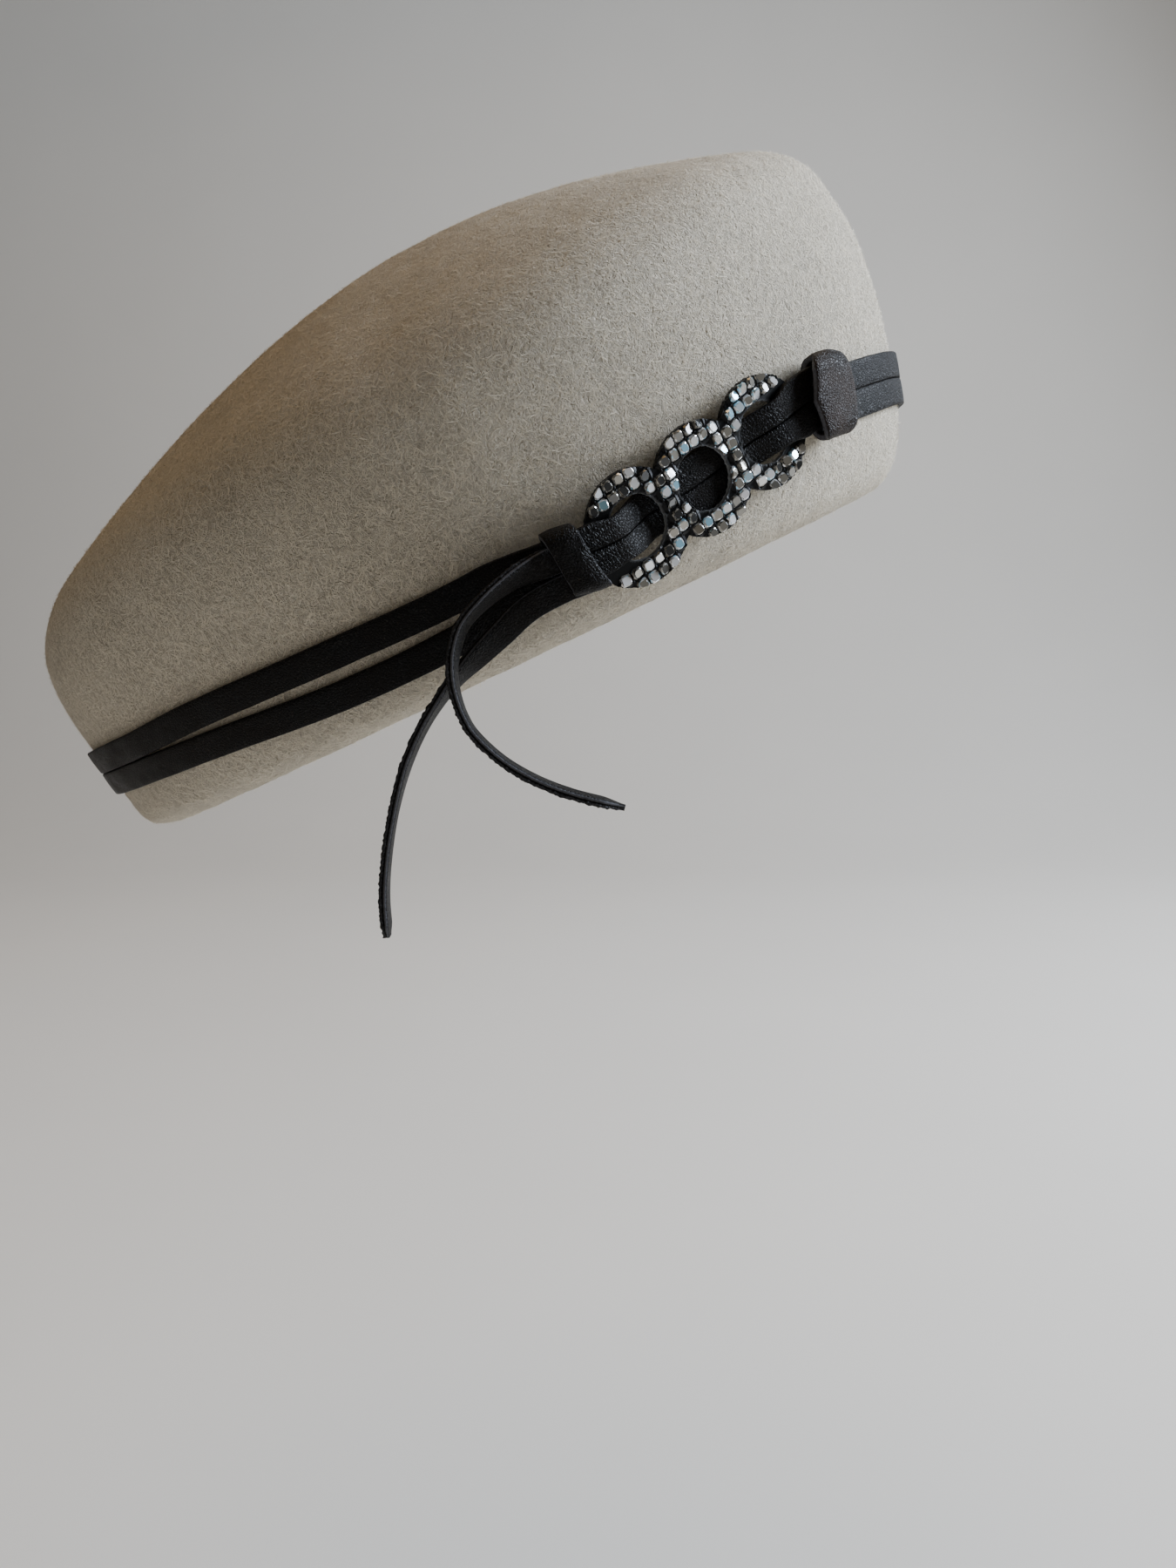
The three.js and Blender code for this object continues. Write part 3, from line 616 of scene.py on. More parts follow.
def add_node(
    tree: bpy.types.NodeTree, kind: str, settings: dict | None = None, **inputs: object
) -> bpy.types.Node:
    """Adds a node with its settings and links.

    Args:
        tree: the node tree.
        kind: the node's type name without its ShaderNode prefix.
        settings: node properties by name.
        inputs: values or output sockets by input name, with underscores for blanks. A name that
            starts with in and a number is that input.

    Returns:
        The node.
    """
    node = tree.nodes.new("ShaderNode" + kind)
    for key, value in (settings or {}).items():
        setattr(node, key, value)
    for key, value in inputs.items():
        socket = node.inputs[int(key[2:])] if key[:2] == "in" and key[2:].isdigit() else None
        if socket is None:
            socket = node.inputs[key.replace("_", " ")]
        if isinstance(value, bpy.types.NodeSocket):
            tree.links.new(value, socket)
        else:
            socket.default_value = value
    return node


def add_ramp(tree: bpy.types.NodeTree, factor: bpy.types.NodeSocket, stops: list) -> bpy.types.NodeSocket:
    """Adds a colour ramp and gives its colour output.

    Args:
        tree: the node tree.
        factor: what drives the ramp.
        stops: pairs of a place from 0 to 1 and a linear colour.

    Returns:
        The colour socket.
    """
    node = add_node(tree, "ValToRGB", Fac=factor)
    elements = node.color_ramp.elements
    while len(elements) < len(stops):
        elements.new(0.5)
    for element, (place, colour) in zip(elements, stops):
        element.position = place
        element.color = colour
    return node.outputs["Color"]


def add_math(tree: bpy.types.NodeTree, operation: str, *inputs: object) -> bpy.types.NodeSocket:
    """Adds a sum of one or two inputs and gives its result."""
    sockets = {f"in{i}": value for i, value in enumerate(inputs)}
    return add_node(tree, "Math", {"operation": operation}, **sockets).outputs[0]


def grey(value: float) -> tuple:
    """A linear grey."""
    return (value, value, value, 1.0)


def new_material(name: str) -> tuple:
    """A material with an empty tree, its shader and its object coordinates."""
    material = bpy.data.materials.new(name)
    material.use_nodes = True
    tree = material.node_tree
    shader = tree.nodes["Principled BSDF"]
    place = add_node(tree, "TexCoord").outputs["Object"]
    return material, tree, shader, place


def set_shader(shader: bpy.types.Node, **values: object) -> None:
    """Sets the shader's plain values, named with underscores for blanks."""
    for name, value in values.items():
        shader.inputs[name.replace("_", " ")].default_value = value


@dataclass(frozen=True)
class WoolFelt:
    """Cream wool felt, blocked on a form and lightly brushed.

    Its matted fibres mottle the colour and roughen the surface, so it looks soft and quite matt. The
    colour also darkens into the dents of the curls, which is painted shade. A few dark guard hairs are
    matted in. The real fibres curl under a millimetre across, and the two sizes of curl here are drawn
    coarser so that they show.
    """

    name: str = "wool_felt_cream"
    pale: str = "#e3d8c5"
    middle: str = "#d7cdb9"
    # Painted shade: the darkest felt colour, which lies in the dents of the curls.
    dent_shade: str = "#b3a58c"
    hair: str = "#5b5047"
    curl: float = 2.5 * MM
    fine_curl: float = 1 * MM
    cloud: float = 22 * MM
    fleck: float = 7 * MM
    relief: float = 0.85 * MM
    curl_warp: float = 2.2
    fine_warp: float = 1.4
    fold_gain: float = 4.5
    cloud_shade: float = 0.86
    fleck_stretch: tuple = (1.0, 1.0, 5.0)
    fleck_turn: tuple = (0.4, 0.9, 0.2)
    fleck_core: float = 0.018
    fleck_edge: float = 0.03
    fleck_strength: float = 0.6
    roughness: float = 0.95
    ior: float = 1.5
    specular: float = 0.2
    sheen: float = 0.25
    sheen_roughness: float = 0.6

    def make(self) -> bpy.types.Material:
        """Builds the felt's node material."""
        material, tree, shader, place = new_material(self.name)
        cloud = add_node(tree, "TexNoise", Vector=place, Scale=1 / self.cloud, Detail=3.0)
        ridges = []
        for size, warp in ((self.curl, self.curl_warp), (self.fine_curl, self.fine_warp)):
            curls = add_node(
                tree, "TexNoise", Vector=place, Scale=1 / size, Detail=2.5, Roughness=0.6, Distortion=warp
            )
            centred = add_math(tree, "SUBTRACT", curls.outputs["Fac"], 0.5)
            folded = add_math(tree, "ABSOLUTE", centred)
            ridges.append(add_math(tree, "MULTIPLY", folded, self.fold_gain))
        both = add_math(tree, "ADD", *ridges)
        curl_depth = add_math(tree, "MULTIPLY", both, 0.5)
        # Painted shade: the colour darkens with the curls' depth and is darkest in their dents; from pale to
        # middle it is the felt's own mottle.
        colour = add_ramp(
            tree,
            curl_depth,
            [(0.0, to_linear(self.pale)), (0.42, to_linear(self.middle)), (1.0, to_linear(self.dent_shade))],
        )
        tint = add_ramp(tree, cloud.outputs["Fac"], [(0.3, grey(self.cloud_shade)), (0.7, grey(1.0))])
        tinted = add_node(
            tree, "MixRGB", {"blend_type": "MULTIPLY"}, Fac=1.0, Color1=colour, Color2=tint
        ).outputs[0]
        stretched = add_node(
            tree, "Mapping", Vector=place, Scale=self.fleck_stretch, Rotation=self.fleck_turn
        )
        flecks = add_node(
            tree, "TexVoronoi", Vector=stretched.outputs[0], Scale=1 / self.fleck, Randomness=1.0
        )
        is_fleck = add_ramp(
            tree,
            flecks.outputs["Distance"],
            [(self.fleck_core, grey(self.fleck_strength)), (self.fleck_edge, grey(0.0))],
        )
        dotted = add_node(tree, "MixRGB", Fac=is_fleck, Color1=tinted, Color2=to_linear(self.hair))
        bump = add_node(tree, "Bump", {"invert": True}, Height=curl_depth, Strength=1.0, Distance=self.relief)
        tree.links.new(dotted.outputs[0], shader.inputs["Base Color"])
        tree.links.new(bump.outputs[0], shader.inputs["Normal"])
        set_shader(
            shader,
            Roughness=self.roughness,
            IOR=self.ior,
            Specular_IOR_Level=self.specular,
            Sheen_Weight=self.sheen,
            Sheen_Roughness=self.sheen_roughness,
            Sheen_Tint=to_linear(self.pale),
        )
        return material


@dataclass(frozen=True)
class WoolHair:
    """Loose ends of the felt's wool: matt and pale, so the outline looks soft, with a few dark hairs."""

    name: str = "wool_hair"
    pale: str = "#e4dac5"
    dark: str = "#4a423b"
    dark_share: float = 0.9993
    dark_step: float = 0.0002
    roughness: float = 0.9
    specular: float = 0.1

    def make(self) -> bpy.types.Material:
        """Builds the hairs' material, which reads each hair's tone."""
        material, tree, shader, _ = new_material(self.name)
        tone = add_node(tree, "Attribute", {"attribute_name": "tone"}).outputs["Fac"]
        colour = add_ramp(
            tree,
            tone,
            [
                (0.0, to_linear(self.pale)),
                (self.dark_share, to_linear(self.pale)),
                (self.dark_share + self.dark_step, to_linear(self.dark)),
            ],
        )
        tree.links.new(colour, shader.inputs["Base Color"])
        set_shader(shader, Roughness=self.roughness, Specular_IOR_Level=self.specular)
        return material


@dataclass(frozen=True)
class PebbledLeather:
    """Near-black split leather cut in thongs, with a fine pebbled grain and raw fuzzy cut edges.

    The grain's glints are painted in as small pale specks, and the cut edges are rough, matt and greyer.
    Real grain of this kind is about 0.3 mm, and it is drawn twice as coarse so that it shows.
    """

    name: str = "pebbled_leather_black"
    dark: str = "#030303"
    worn: str = "#0f0b08"
    # Painted glints: colour of the pale specks that stand for light caught by the grain.
    glint_speck: str = "#4a4743"
    edge: str = "#56565a"
    pebble: float = 0.62 * MM
    patch: float = 9 * MM
    lint: float = 0.5 * MM
    relief: float = 0.3 * MM
    glint_speck_strength: float = 0.6
    edge_strength: float = 0.9
    bump_strength: float = 0.6
    roughness: float = 0.5
    smoother: float = 0.1
    rougher: float = 0.16
    ior: float = 1.5
    specular: float = 0.14

    def make(self) -> bpy.types.Material:
        """Builds the leather's node material, which reads where the cut edges are."""
        material, tree, shader, place = new_material(self.name)
        patches = add_node(tree, "TexNoise", Vector=place, Scale=1 / self.patch, Detail=4.0, Roughness=0.65)
        pebbles = add_node(
            tree, "TexVoronoi", {"feature": "DISTANCE_TO_EDGE"}, Vector=place, Scale=1 / self.pebble
        )
        lint = add_node(tree, "TexNoise", Vector=place, Scale=1 / self.lint, Detail=3.0, Roughness=0.8)
        edge = add_node(tree, "Attribute", {"attribute_name": "cut_edge"}).outputs["Fac"]
        base = add_ramp(
            tree, patches.outputs["Fac"], [(0.35, to_linear(self.dark)), (0.7, to_linear(self.worn))]
        )
        # Painted glints: pale specks laid over the leather where the grain would catch the light.
        is_glint_speck = add_ramp(
            tree, lint.outputs["Fac"], [(0.6, grey(0.0)), (0.7, grey(self.glint_speck_strength))]
        )
        glint_specked = add_node(tree, "MixRGB", Fac=is_glint_speck, Color1=base, Color2=to_linear(self.glint_speck))
        edge_noise = add_math(tree, "MULTIPLY", edge, lint.outputs["Fac"])
        edge_share = add_ramp(tree, edge_noise, [(0.12, grey(0.0)), (0.5, grey(self.edge_strength))])
        cut = add_node(
            tree, "MixRGB", Fac=edge_share, Color1=glint_specked.outputs[0], Color2=to_linear(self.edge)
        )
        grain = add_ramp(tree, pebbles.outputs["Distance"], [(0.0, grey(0.0)), (0.22, grey(1.0))])
        rough_edge = add_node(tree, "MixRGB", Fac=edge, Color1=grain, Color2=lint.outputs["Fac"])
        bump = add_node(
            tree,
            "Bump",
            Height=rough_edge.outputs[0],
            Strength=self.bump_strength,
            Distance=self.relief,
        )
        gloss = add_ramp(
            tree,
            patches.outputs["Fac"],
            [(0.3, grey(self.roughness - self.smoother)), (0.75, grey(self.roughness + self.rougher))],
        )
        tree.links.new(cut.outputs[0], shader.inputs["Base Color"])
        tree.links.new(gloss, shader.inputs["Roughness"])
        tree.links.new(bump.outputs[0], shader.inputs["Normal"])
        set_shader(shader, IOR=self.ior, Specular_IOR_Level=self.specular)
        return material


@dataclass(frozen=True)
class FoiledCrystal:
    """Machine-cut glass crystals with a foiled back.

    The foil makes each facet a small mirror, and its flashes are painted: a facet's tone picks its
    colour, with painted glints in white and pale blue, painted dark reflections, and the foil's own dull
    beige between.
    """

    name: str = "crystal_foiled"
    # Painted reflections: the dark, white and pale blue facets stand for what each facet mirrors; the dull
    # beige is the foil's own.
    dark: str = "#3a3b3b"
    dull: str = "#979287"
    glint_blue: str = "#9fcfe2"
    glint_white: str = "#ffffff"
    roughness: float = 0.1
    metallic: float = 0.5
    coat: float = 1.0
    coat_roughness: float = 0.02

    def make(self) -> bpy.types.Material:
        """Builds the crystals' material, which reads each facet's tone."""
        material, tree, shader, _ = new_material(self.name)
        tone = add_node(tree, "Attribute", {"attribute_name": "tone"}).outputs["Fac"]
        # Painted reflections and glints, picked by each facet's tone.
        colour = add_ramp(
            tree,
            tone,
            [
                (0.1, to_linear(self.dark)),
                (0.26, to_linear(self.dull)),
                (0.5, to_linear(self.dull)),
                (0.64, to_linear(self.glint_white)),
                (0.88, to_linear(self.glint_white)),
                (0.97, to_linear(self.glint_blue)),
            ],
        )
        tree.links.new(colour, shader.inputs["Base Color"])
        set_shader(
            shader,
            Metallic=self.metallic,
            Roughness=self.roughness,
            Coat_Weight=self.coat,
            Coat_Roughness=self.coat_roughness,
        )
        return material


@dataclass(frozen=True)
class MouldedMesh:
    """Black moulded plastic netting that the crystals sit in, with a pale backing foil.

    It is satin and nearly black, and the foil shows as a thin pale line where the holes are cut.
    """

    name: str = "plastic_netting_black"
    net: str = "#040404"
    foil: str = "#d3d6d8"
    roughness: float = 0.42
    roughness_swing: float = 0.1
    ior: float = 1.46
    specular: float = 0.2
    grit: float = 0.3 * MM
    bump_strength: float = 0.4
    relief: float = 0.05 * MM

    def make(self) -> bpy.types.Material:
        """Builds the netting's material, which reads where the backing shows."""
        material, tree, shader, place = new_material(self.name)
        grit = add_node(tree, "TexNoise", Vector=place, Scale=1 / self.grit, Detail=2.0)
        foil = add_node(tree, "Attribute", {"attribute_name": "foil"}).outputs["Fac"]
        colour = add_node(
            tree, "MixRGB", Fac=foil, Color1=to_linear(self.net), Color2=to_linear(self.foil)
        )
        smooth, rough = self.roughness - self.roughness_swing, self.roughness + self.roughness_swing
        gloss = add_ramp(tree, grit.outputs["Fac"], [(0.3, grey(smooth)), (0.7, grey(rough))])
        bump = add_node(
            tree,
            "Bump",
            Height=grit.outputs["Fac"],
            Strength=self.bump_strength,
            Distance=self.relief,
        )
        tree.links.new(colour.outputs[0], shader.inputs["Base Color"])
        tree.links.new(gloss, shader.inputs["Roughness"])
        tree.links.new(bump.outputs[0], shader.inputs["Normal"])
        set_shader(shader, IOR=self.ior, Specular_IOR_Level=self.specular)
        return material


@dataclass(frozen=True)
class PaperSweep:
    """Pale coated paper of a studio sweep. Its coating is matt and even, with a faint mottle."""

    name: str = "paper_pale"
    colour: str = "#d3cec5"
    mottle: float = 1 / 6
    mottle_strength: float = 0.06
    roughness: float = 0.95

    def make(self) -> bpy.types.Material:
        """Builds the paper's material."""
        material, tree, shader, place = new_material(self.name)
        mottle = add_node(tree, "TexNoise", Vector=place, Scale=1 / self.mottle, Detail=3.0)
        colour = add_node(
            tree,
            "MixRGB",
            {"blend_type": "MULTIPLY"},
            Fac=self.mottle_strength,
            Color1=to_linear(self.colour),
            Color2=mottle.outputs["Fac"],
        )
        tree.links.new(colour.outputs[0], shader.inputs["Base Color"])
        set_shader(shader, Roughness=self.roughness)
        return material


def finish_piece(
    piece: bpy.types.Object, material: bpy.types.Material, slot: Slot, *nodes: str
) -> bpy.types.Object:
    """Dresses a piece, rides it on the hat and hides the CAD nodes that it replaces.

    Args:
        piece: the object.
        material: its finish.
        slot: not used.
        nodes: the CAD nodes that it replaces.

    Returns:
        The piece.
    """
    piece.data.materials.append(material)
    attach(piece, BODY)
    if nodes:
        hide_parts(*nodes)
    LOG.info("%s: %d faces", piece.name, len(piece.data.polygons))
    return piece


@dataclass(frozen=True)
class SoftLight:
    """A soft square light that faces the hat: its place, its side, its power in watts and its colour."""

    name: str
    place: tuple
    side: float
    power: float
    colour: str


@dataclass(frozen=True)
class Studio:
    """Camera at the photograph's place, plain sweep and soft lights."""

    camera_place: tuple = (17 * MM, -338 * MM, 14.5 * MM)
    pitch_down: float = math.radians(8.5)
    lens: float = 28.3
    sensor: float = 36.0
    floor_height: float = -0.26
    floor_half_width: float = 3.0
    floor_near: float = -2.2
    wall_place: float = 1.5
    wall_height: float = 2.6
    bend_radius: float = 0.6
    bend_steps: int = 12
    paper: PaperSweep = PaperSweep()
    clip_start: float = 10 * MM
    lights: tuple = (
        SoftLight("light_window", (1.16, 0.1, 0.74), 0.7, 56, "#e0ebfb"),
        SoftLight("light_top", (-0.2, 0.3, 1.15), 0.9, 4.2, "#ffd08e"),
        SoftLight("light_fill", (-0.9, -0.9, 0.5), 1.2, 1.2, "#f4efe6"),
    )
    surround: str = "#dcd3c4"
    surround_strength: float = 0.13

    def add_camera(self) -> bpy.types.Object:
        """Adds the camera and makes it the scene's."""
        data = bpy.data.cameras.new("camera")
        data.sensor_fit = "VERTICAL"
        data.sensor_height = self.sensor
        data.lens = self.lens
        data.clip_start = self.clip_start
        camera = bpy.data.objects.new("camera", data)
        camera.location = self.camera_place
        camera.rotation_euler = (math.pi / 2 - self.pitch_down, 0, 0)
        bpy.context.scene.collection.objects.link(camera)
        bpy.context.scene.camera = camera
        return camera

    def add_light(self, light: SoftLight) -> bpy.types.Object:
        """Adds a soft light."""
        data = bpy.data.lights.new(light.name, "AREA")
        data.size = light.side
        data.energy = light.power
        data.color = to_linear(light.colour)[:3]
        lamp = bpy.data.objects.new(light.name, data)
        lamp.location = light.place
        lamp.rotation_euler = (-Vector(light.place)).to_track_quat("-Z", "Y").to_euler()
        bpy.context.scene.collection.objects.link(lamp)
        return lamp

    def add_lights(self) -> None:
        """Adds the window light, the warm top light, a fill and the even surround."""
        for light in self.lights:
            self.add_light(light)
        world = bpy.data.worlds.new("surround")
        world.use_nodes = True
        background = world.node_tree.nodes["Background"]
        background.inputs["Color"].default_value = to_linear(self.surround)
        background.inputs["Strength"].default_value = self.surround_strength
        bpy.context.scene.world = world

    def add_sweep(self) -> bpy.types.Object:
        """Adds the pale floor that bends up into a backdrop."""
        profile = [(self.floor_near, self.floor_height)]
        for i in range(self.bend_steps + 1):
            turn = i / self.bend_steps * math.pi / 2
            profile.append(
                (
                    self.wall_place - self.bend_radius * (1 - math.sin(turn)),
                    self.floor_height + self.bend_radius * (1 - math.cos(turn)),
                )
            )
        profile.append((self.wall_place, self.floor_height + self.wall_height))
        half = self.floor_half_width
        points = [(x, y, z) for y, z in profile for x in (-half, half)]
        faces = [[2 * i, 2 * i + 1, 2 * i + 3, 2 * i + 2] for i in range(len(profile) - 1)]
        sweep = mesh_from("sweep", np.array(points), faces)
        sweep.data.materials.append(self.paper.make())
        return sweep


@dataclass
class FeltCrown:
    """The felt shell and the loose wool ends that stand off it.

    Attributes:
        form: the crown's form.
        columns: points round the crown.
        row_steps: parts of the mesh for each row of the form.
        wave: how uneven the felt is.
        wave_size: distance between its dents.
        wave_decay: how much weaker each finer unevenness is.
        wave_step: how much finer each is than the last.
        wave_octaves: how many there are.
        hair_layers: pieces that the hairs are split into.
        hair_count: hairs in each layer.
        hair_width: width at the root.
        hair_short: length of the shortest.
        hair_long: length of the longest.
        hair_lift: how steeply the steepest stands off the felt.
        hair_lift_power: how rare steep hairs are.
        hair_lift_middle: share of the lift at a hair's middle.
        hair_lift_end: share of it at the end.
        hair_combed: how far the hairs are combed upwards.
        hair_bend: how strongly they curl sideways.
        hair_middle: share of the length at the middle.
        hair_end: share of it at the end.
        curl_middle: share of the curl at the middle.
        curl_end: share of it at the end, the other way.
        seed: seed of the hairs.
    """

    form: HatForm
    columns: int = 336
    row_steps: int = 7
    wave: float = 0.16 * MM
    wave_size: float = 9 * MM
    wave_decay: float = 0.9
    wave_step: float = 2.1
    wave_octaves: int = 4
    hair_layers: int = 3
    hair_count: int = 60000
    hair_width: float = 0.085 * MM
    hair_short: float = 1.1 * MM
    hair_long: float = 3.6 * MM
    hair_lift: float = 0.24
    hair_lift_power: float = 1.6
    hair_lift_middle: float = 1.3
    hair_lift_end: float = 0.9
    hair_combed: float = 0.8
    hair_bend: float = 0.5
    hair_middle: float = 0.5
    hair_end: float = 0.95
    curl_middle: float = 0.18
    curl_end: float = 0.1
    seed: int = 7

    def outside(self) -> np.ndarray:
        """Fine grid of the outside, rows from the lip up and columns round the crown."""
        columns = [self.form.column(i / self.columns * TURN) for i in range(self.columns)]
        coarse = np.array(columns).transpose(1, 0, 2)
        top = np.array([[self.form.tip_forward, 0, self.form.tip_height]] * self.columns)
        lip = coarse[:1]
        smooth = catmull_rom(np.concatenate([coarse[1:], top[None]]), self.row_steps)
        return np.concatenate([lip, smooth[:-1]])

    def normals(self, grid: np.ndarray) -> np.ndarray:
        """Outward normals of a grid of rows and columns."""
        along = np.roll(grid, -1, axis=1) - np.roll(grid, 1, axis=1)
        up = np.gradient(grid, axis=0)
        out = np.cross(along, up)
        return out / (np.linalg.norm(out, axis=2, keepdims=True) + 1e-12)

    def waves(self, grid: np.ndarray) -> np.ndarray:
        """Small unevenness of hand-blocked felt at each point of a grid."""
        flat = grid.reshape(-1, 3) / self.wave_size
        values = [
            noise.fractal(Vector(p), self.wave_decay, self.wave_step, self.wave_octaves) for p in flat
        ]
        return np.array(values).reshape(grid.shape[:2])

    def make_shell(self, material: bpy.types.Material) -> bpy.types.Object:
        """Builds the hollow felt shell."""
        outside = self.outside()
        out = self.normals(outside)
        inside = outside - out * self.form.felt_thickness
        waves = self.waves(outside)[..., None] * self.wave
        surface = outside + out * waves
        rows = [inside[i] for i in range(len(inside) - 1, -1, -2)] + list(surface)
        top = Vector((self.form.tip_forward, 0, self.form.tip_height))
        under_top = top - Vector((0, 0, self.form.felt_thickness))
        points = np.concatenate([np.array(rows).reshape(-1, 3), [top, under_top]])
        faces = ring_faces(len(rows), self.columns, False, False)
        outer_top, inner_top = len(points) - 2, len(points) - 1
        last = (len(rows) - 1) * self.columns
        for j in range(self.columns):
            k = (j + 1) % self.columns
            faces.append([last + j, last + k, outer_top])
            faces.append([k, j, inner_top])
        shell = mesh_from("felt_shell", self.form.to_row(points), faces)
        self.surface, self.surface_out = surface, out
        return finish_piece(shell, material, Slot.FELT, "hat_crown")

    def make_hairs(self, layer: int, material: bpy.types.Material) -> bpy.types.Object:
        """Builds one layer of the loose wool ends, each a thin bent sliver.

        Args:
            layer: the layer's number, which also seeds it.
            material: the wool's finish.

        Returns:
            The piece.
        """
        draw = np.random.default_rng(self.seed + layer)
        rows, columns = self.surface.shape[:2]
        area = np.linalg.norm(np.roll(self.surface, -1, axis=1) - self.surface, axis=2)
        area[1:] *= np.linalg.norm(np.diff(self.surface, axis=0), axis=2)
        area[0] = 0
        chance = (area / area.sum()).ravel()
        picks = draw.choice(rows * columns, self.hair_count, p=chance)
        row, column = picks // columns, picks % columns
        below = self.surface[np.maximum(row - 1, 0), column]
        beside = self.surface[row, (column + 1) % columns]
        here = self.surface[row, column]
        share = draw.random((3, self.hair_count, 1))
        root = here + (below - here) * share[0] + (beside - here) * share[1]
        out = self.surface_out[row, column]
        random_way = draw.normal(size=(self.hair_count, 3)) + np.array([0, 0, self.hair_combed])
        flat = random_way - out * (random_way * out).sum(1, keepdims=True)
        flat /= np.linalg.norm(flat, axis=1, keepdims=True)
        lift = self.hair_lift * draw.random((self.hair_count, 1)) ** self.hair_lift_power
        length = mix(self.hair_short, self.hair_long, share[2] ** 2)
        bend = draw.normal(size=(self.hair_count, 1)) * self.hair_bend
        sideways = np.cross(flat, out)
        half = sideways * self.hair_width / 2
        curl = sideways * bend * length
        middle_way = (flat + out * lift * self.hair_lift_middle) * length * self.hair_middle
        end_way = (flat + out * lift * self.hair_lift_end) * length * self.hair_end
        middle = root + middle_way + curl * self.curl_middle
        end = root + end_way - curl * self.curl_end
        points = np.stack([root - half, root + half, middle - half, middle + half, end], axis=1)
        faces = []
        for i in range(self.hair_count):
            k = 5 * i
            faces.append([k, k + 1, k + 3, k + 2])
            faces.append([k + 2, k + 3, k + 4])
        place = self.form.to_row(points.reshape(-1, 3))
        hairs = mesh_from(f"felt_hairs_{layer}", place, faces, smooth=False, is_solid=False)
        set_values(hairs, "tone", np.repeat(draw.random(self.hair_count), 5))
        return finish_piece(hairs, material, Slot.FELT)


def flat_section(
    half_width: float, half_thickness: float, crown: float, groove: float, top_edge: float, low_edge: float
) -> list:
    """Outline of a flat leather thong, its cut edges on both narrow sides.

    Args:
        half_width: half its width.
        half_thickness: half its thickness.
        crown: how far the middle of the top stands proud.
        groove: how far the middle of each cut edge lies back.
        top_edge: how pale the cut edge is in its upper layer.
        low_edge: how pale it is in its lower layer; on the tails this includes a painted highlight.

    Returns:
        Tuples of across, off and how much of a cut edge the point is.
    """
    top = []
    for share in (0.9, 0.6, 0.3, 0, -0.3, -0.6, -0.9):
        top.append((share * half_width, half_thickness + crown * (1 - share**2) - crown * 0.2, 0.0))
    left = [
        (-0.97 * half_width, 0.72 * half_thickness, top_edge),
        (-half_width, 0.34 * half_thickness, top_edge),
        (-half_width + groove, 0.0, 0.0),
        (-half_width, -0.34 * half_thickness, low_edge),
        (-0.97 * half_width, -0.72 * half_thickness, low_edge),
    ]
    bottom = [(share * half_width, -half_thickness, 0.0) for share in (-0.9, -0.45, 0, 0.45, 0.9)]
    right = [(-x, y, edge) for x, y, edge in reversed(left)]
    return top + left + bottom + right


@dataclass(frozen=True)
class StrapStrip:
    """One of the two leather strips, a whole loop round the crown.

    Its leather swells a little past its cut width, which leaves a dark crease between the strips.
    """

    line: StrapLine
    side: Side
    swell: float = 0.1 * MM
    crown: float = 0.12 * MM
    groove: float = 0.1 * MM
    edge_paleness: float = 0.3
    step: float = 0.9 * MM
    waver: float = 0.07 * MM
    waver_size: float = 5 * MM
    waver_off: float = 0.6
    rough_size: float = 0.6 * MM

    def make(self, name: str, node: str, material: bpy.types.Material) -> bpy.types.Object:
        """Builds the strip.

        Args:
            name: the piece's name.
            node: the CAD node that it replaces.
            material: the leather.

        Returns:
            The piece.
        """
        sizes = self.line.sizes
        count = round(self.line.length / self.step)
        half_width, half_thickness = sizes.strip_width / 2 + self.swell, sizes.strip_thickness / 2
        pale = self.edge_paleness
        section = flat_section(half_width, half_thickness, self.crown, self.groove, pale, pale)
        points = []
        for i in range(count):
            length = i / count * self.line.length
            place, out, across, bearing = self.line.frame(length)
            spread = max(self.line.value(bearing, "spread"), 0) * sizes.strip_spread
            pinch = self.line.strip_pinch(length)
            gap = (sizes.clearance + spread + sizes.strip_width * pinch) / 2
            middle = self.line.seam_shift(length) + self.side.value * gap
            level = self.line.strip_level(length)
            for x, off, edge in section:
                gathered = self.line.gather(length, middle + x * pinch)
                at = place + across * gathered + out * (level + off)
                rough = self.waver * edge * noise.noise(at / self.rough_size)
                sway = self.waver * noise.noise(at / self.waver_size)
                sideways = sway + math.copysign(rough, x)
                points.append(at + across * sideways + out * sway * self.waver_off)
        faces = ring_faces(count, len(section), True, False)
        strip = mesh_from(name, self.line.form.to_row(np.array(points)), faces)
        set_values(strip, "cut_edge", [row[2] for row in section] * count)
        return finish_piece(strip, material, Slot.LEATHER, node)


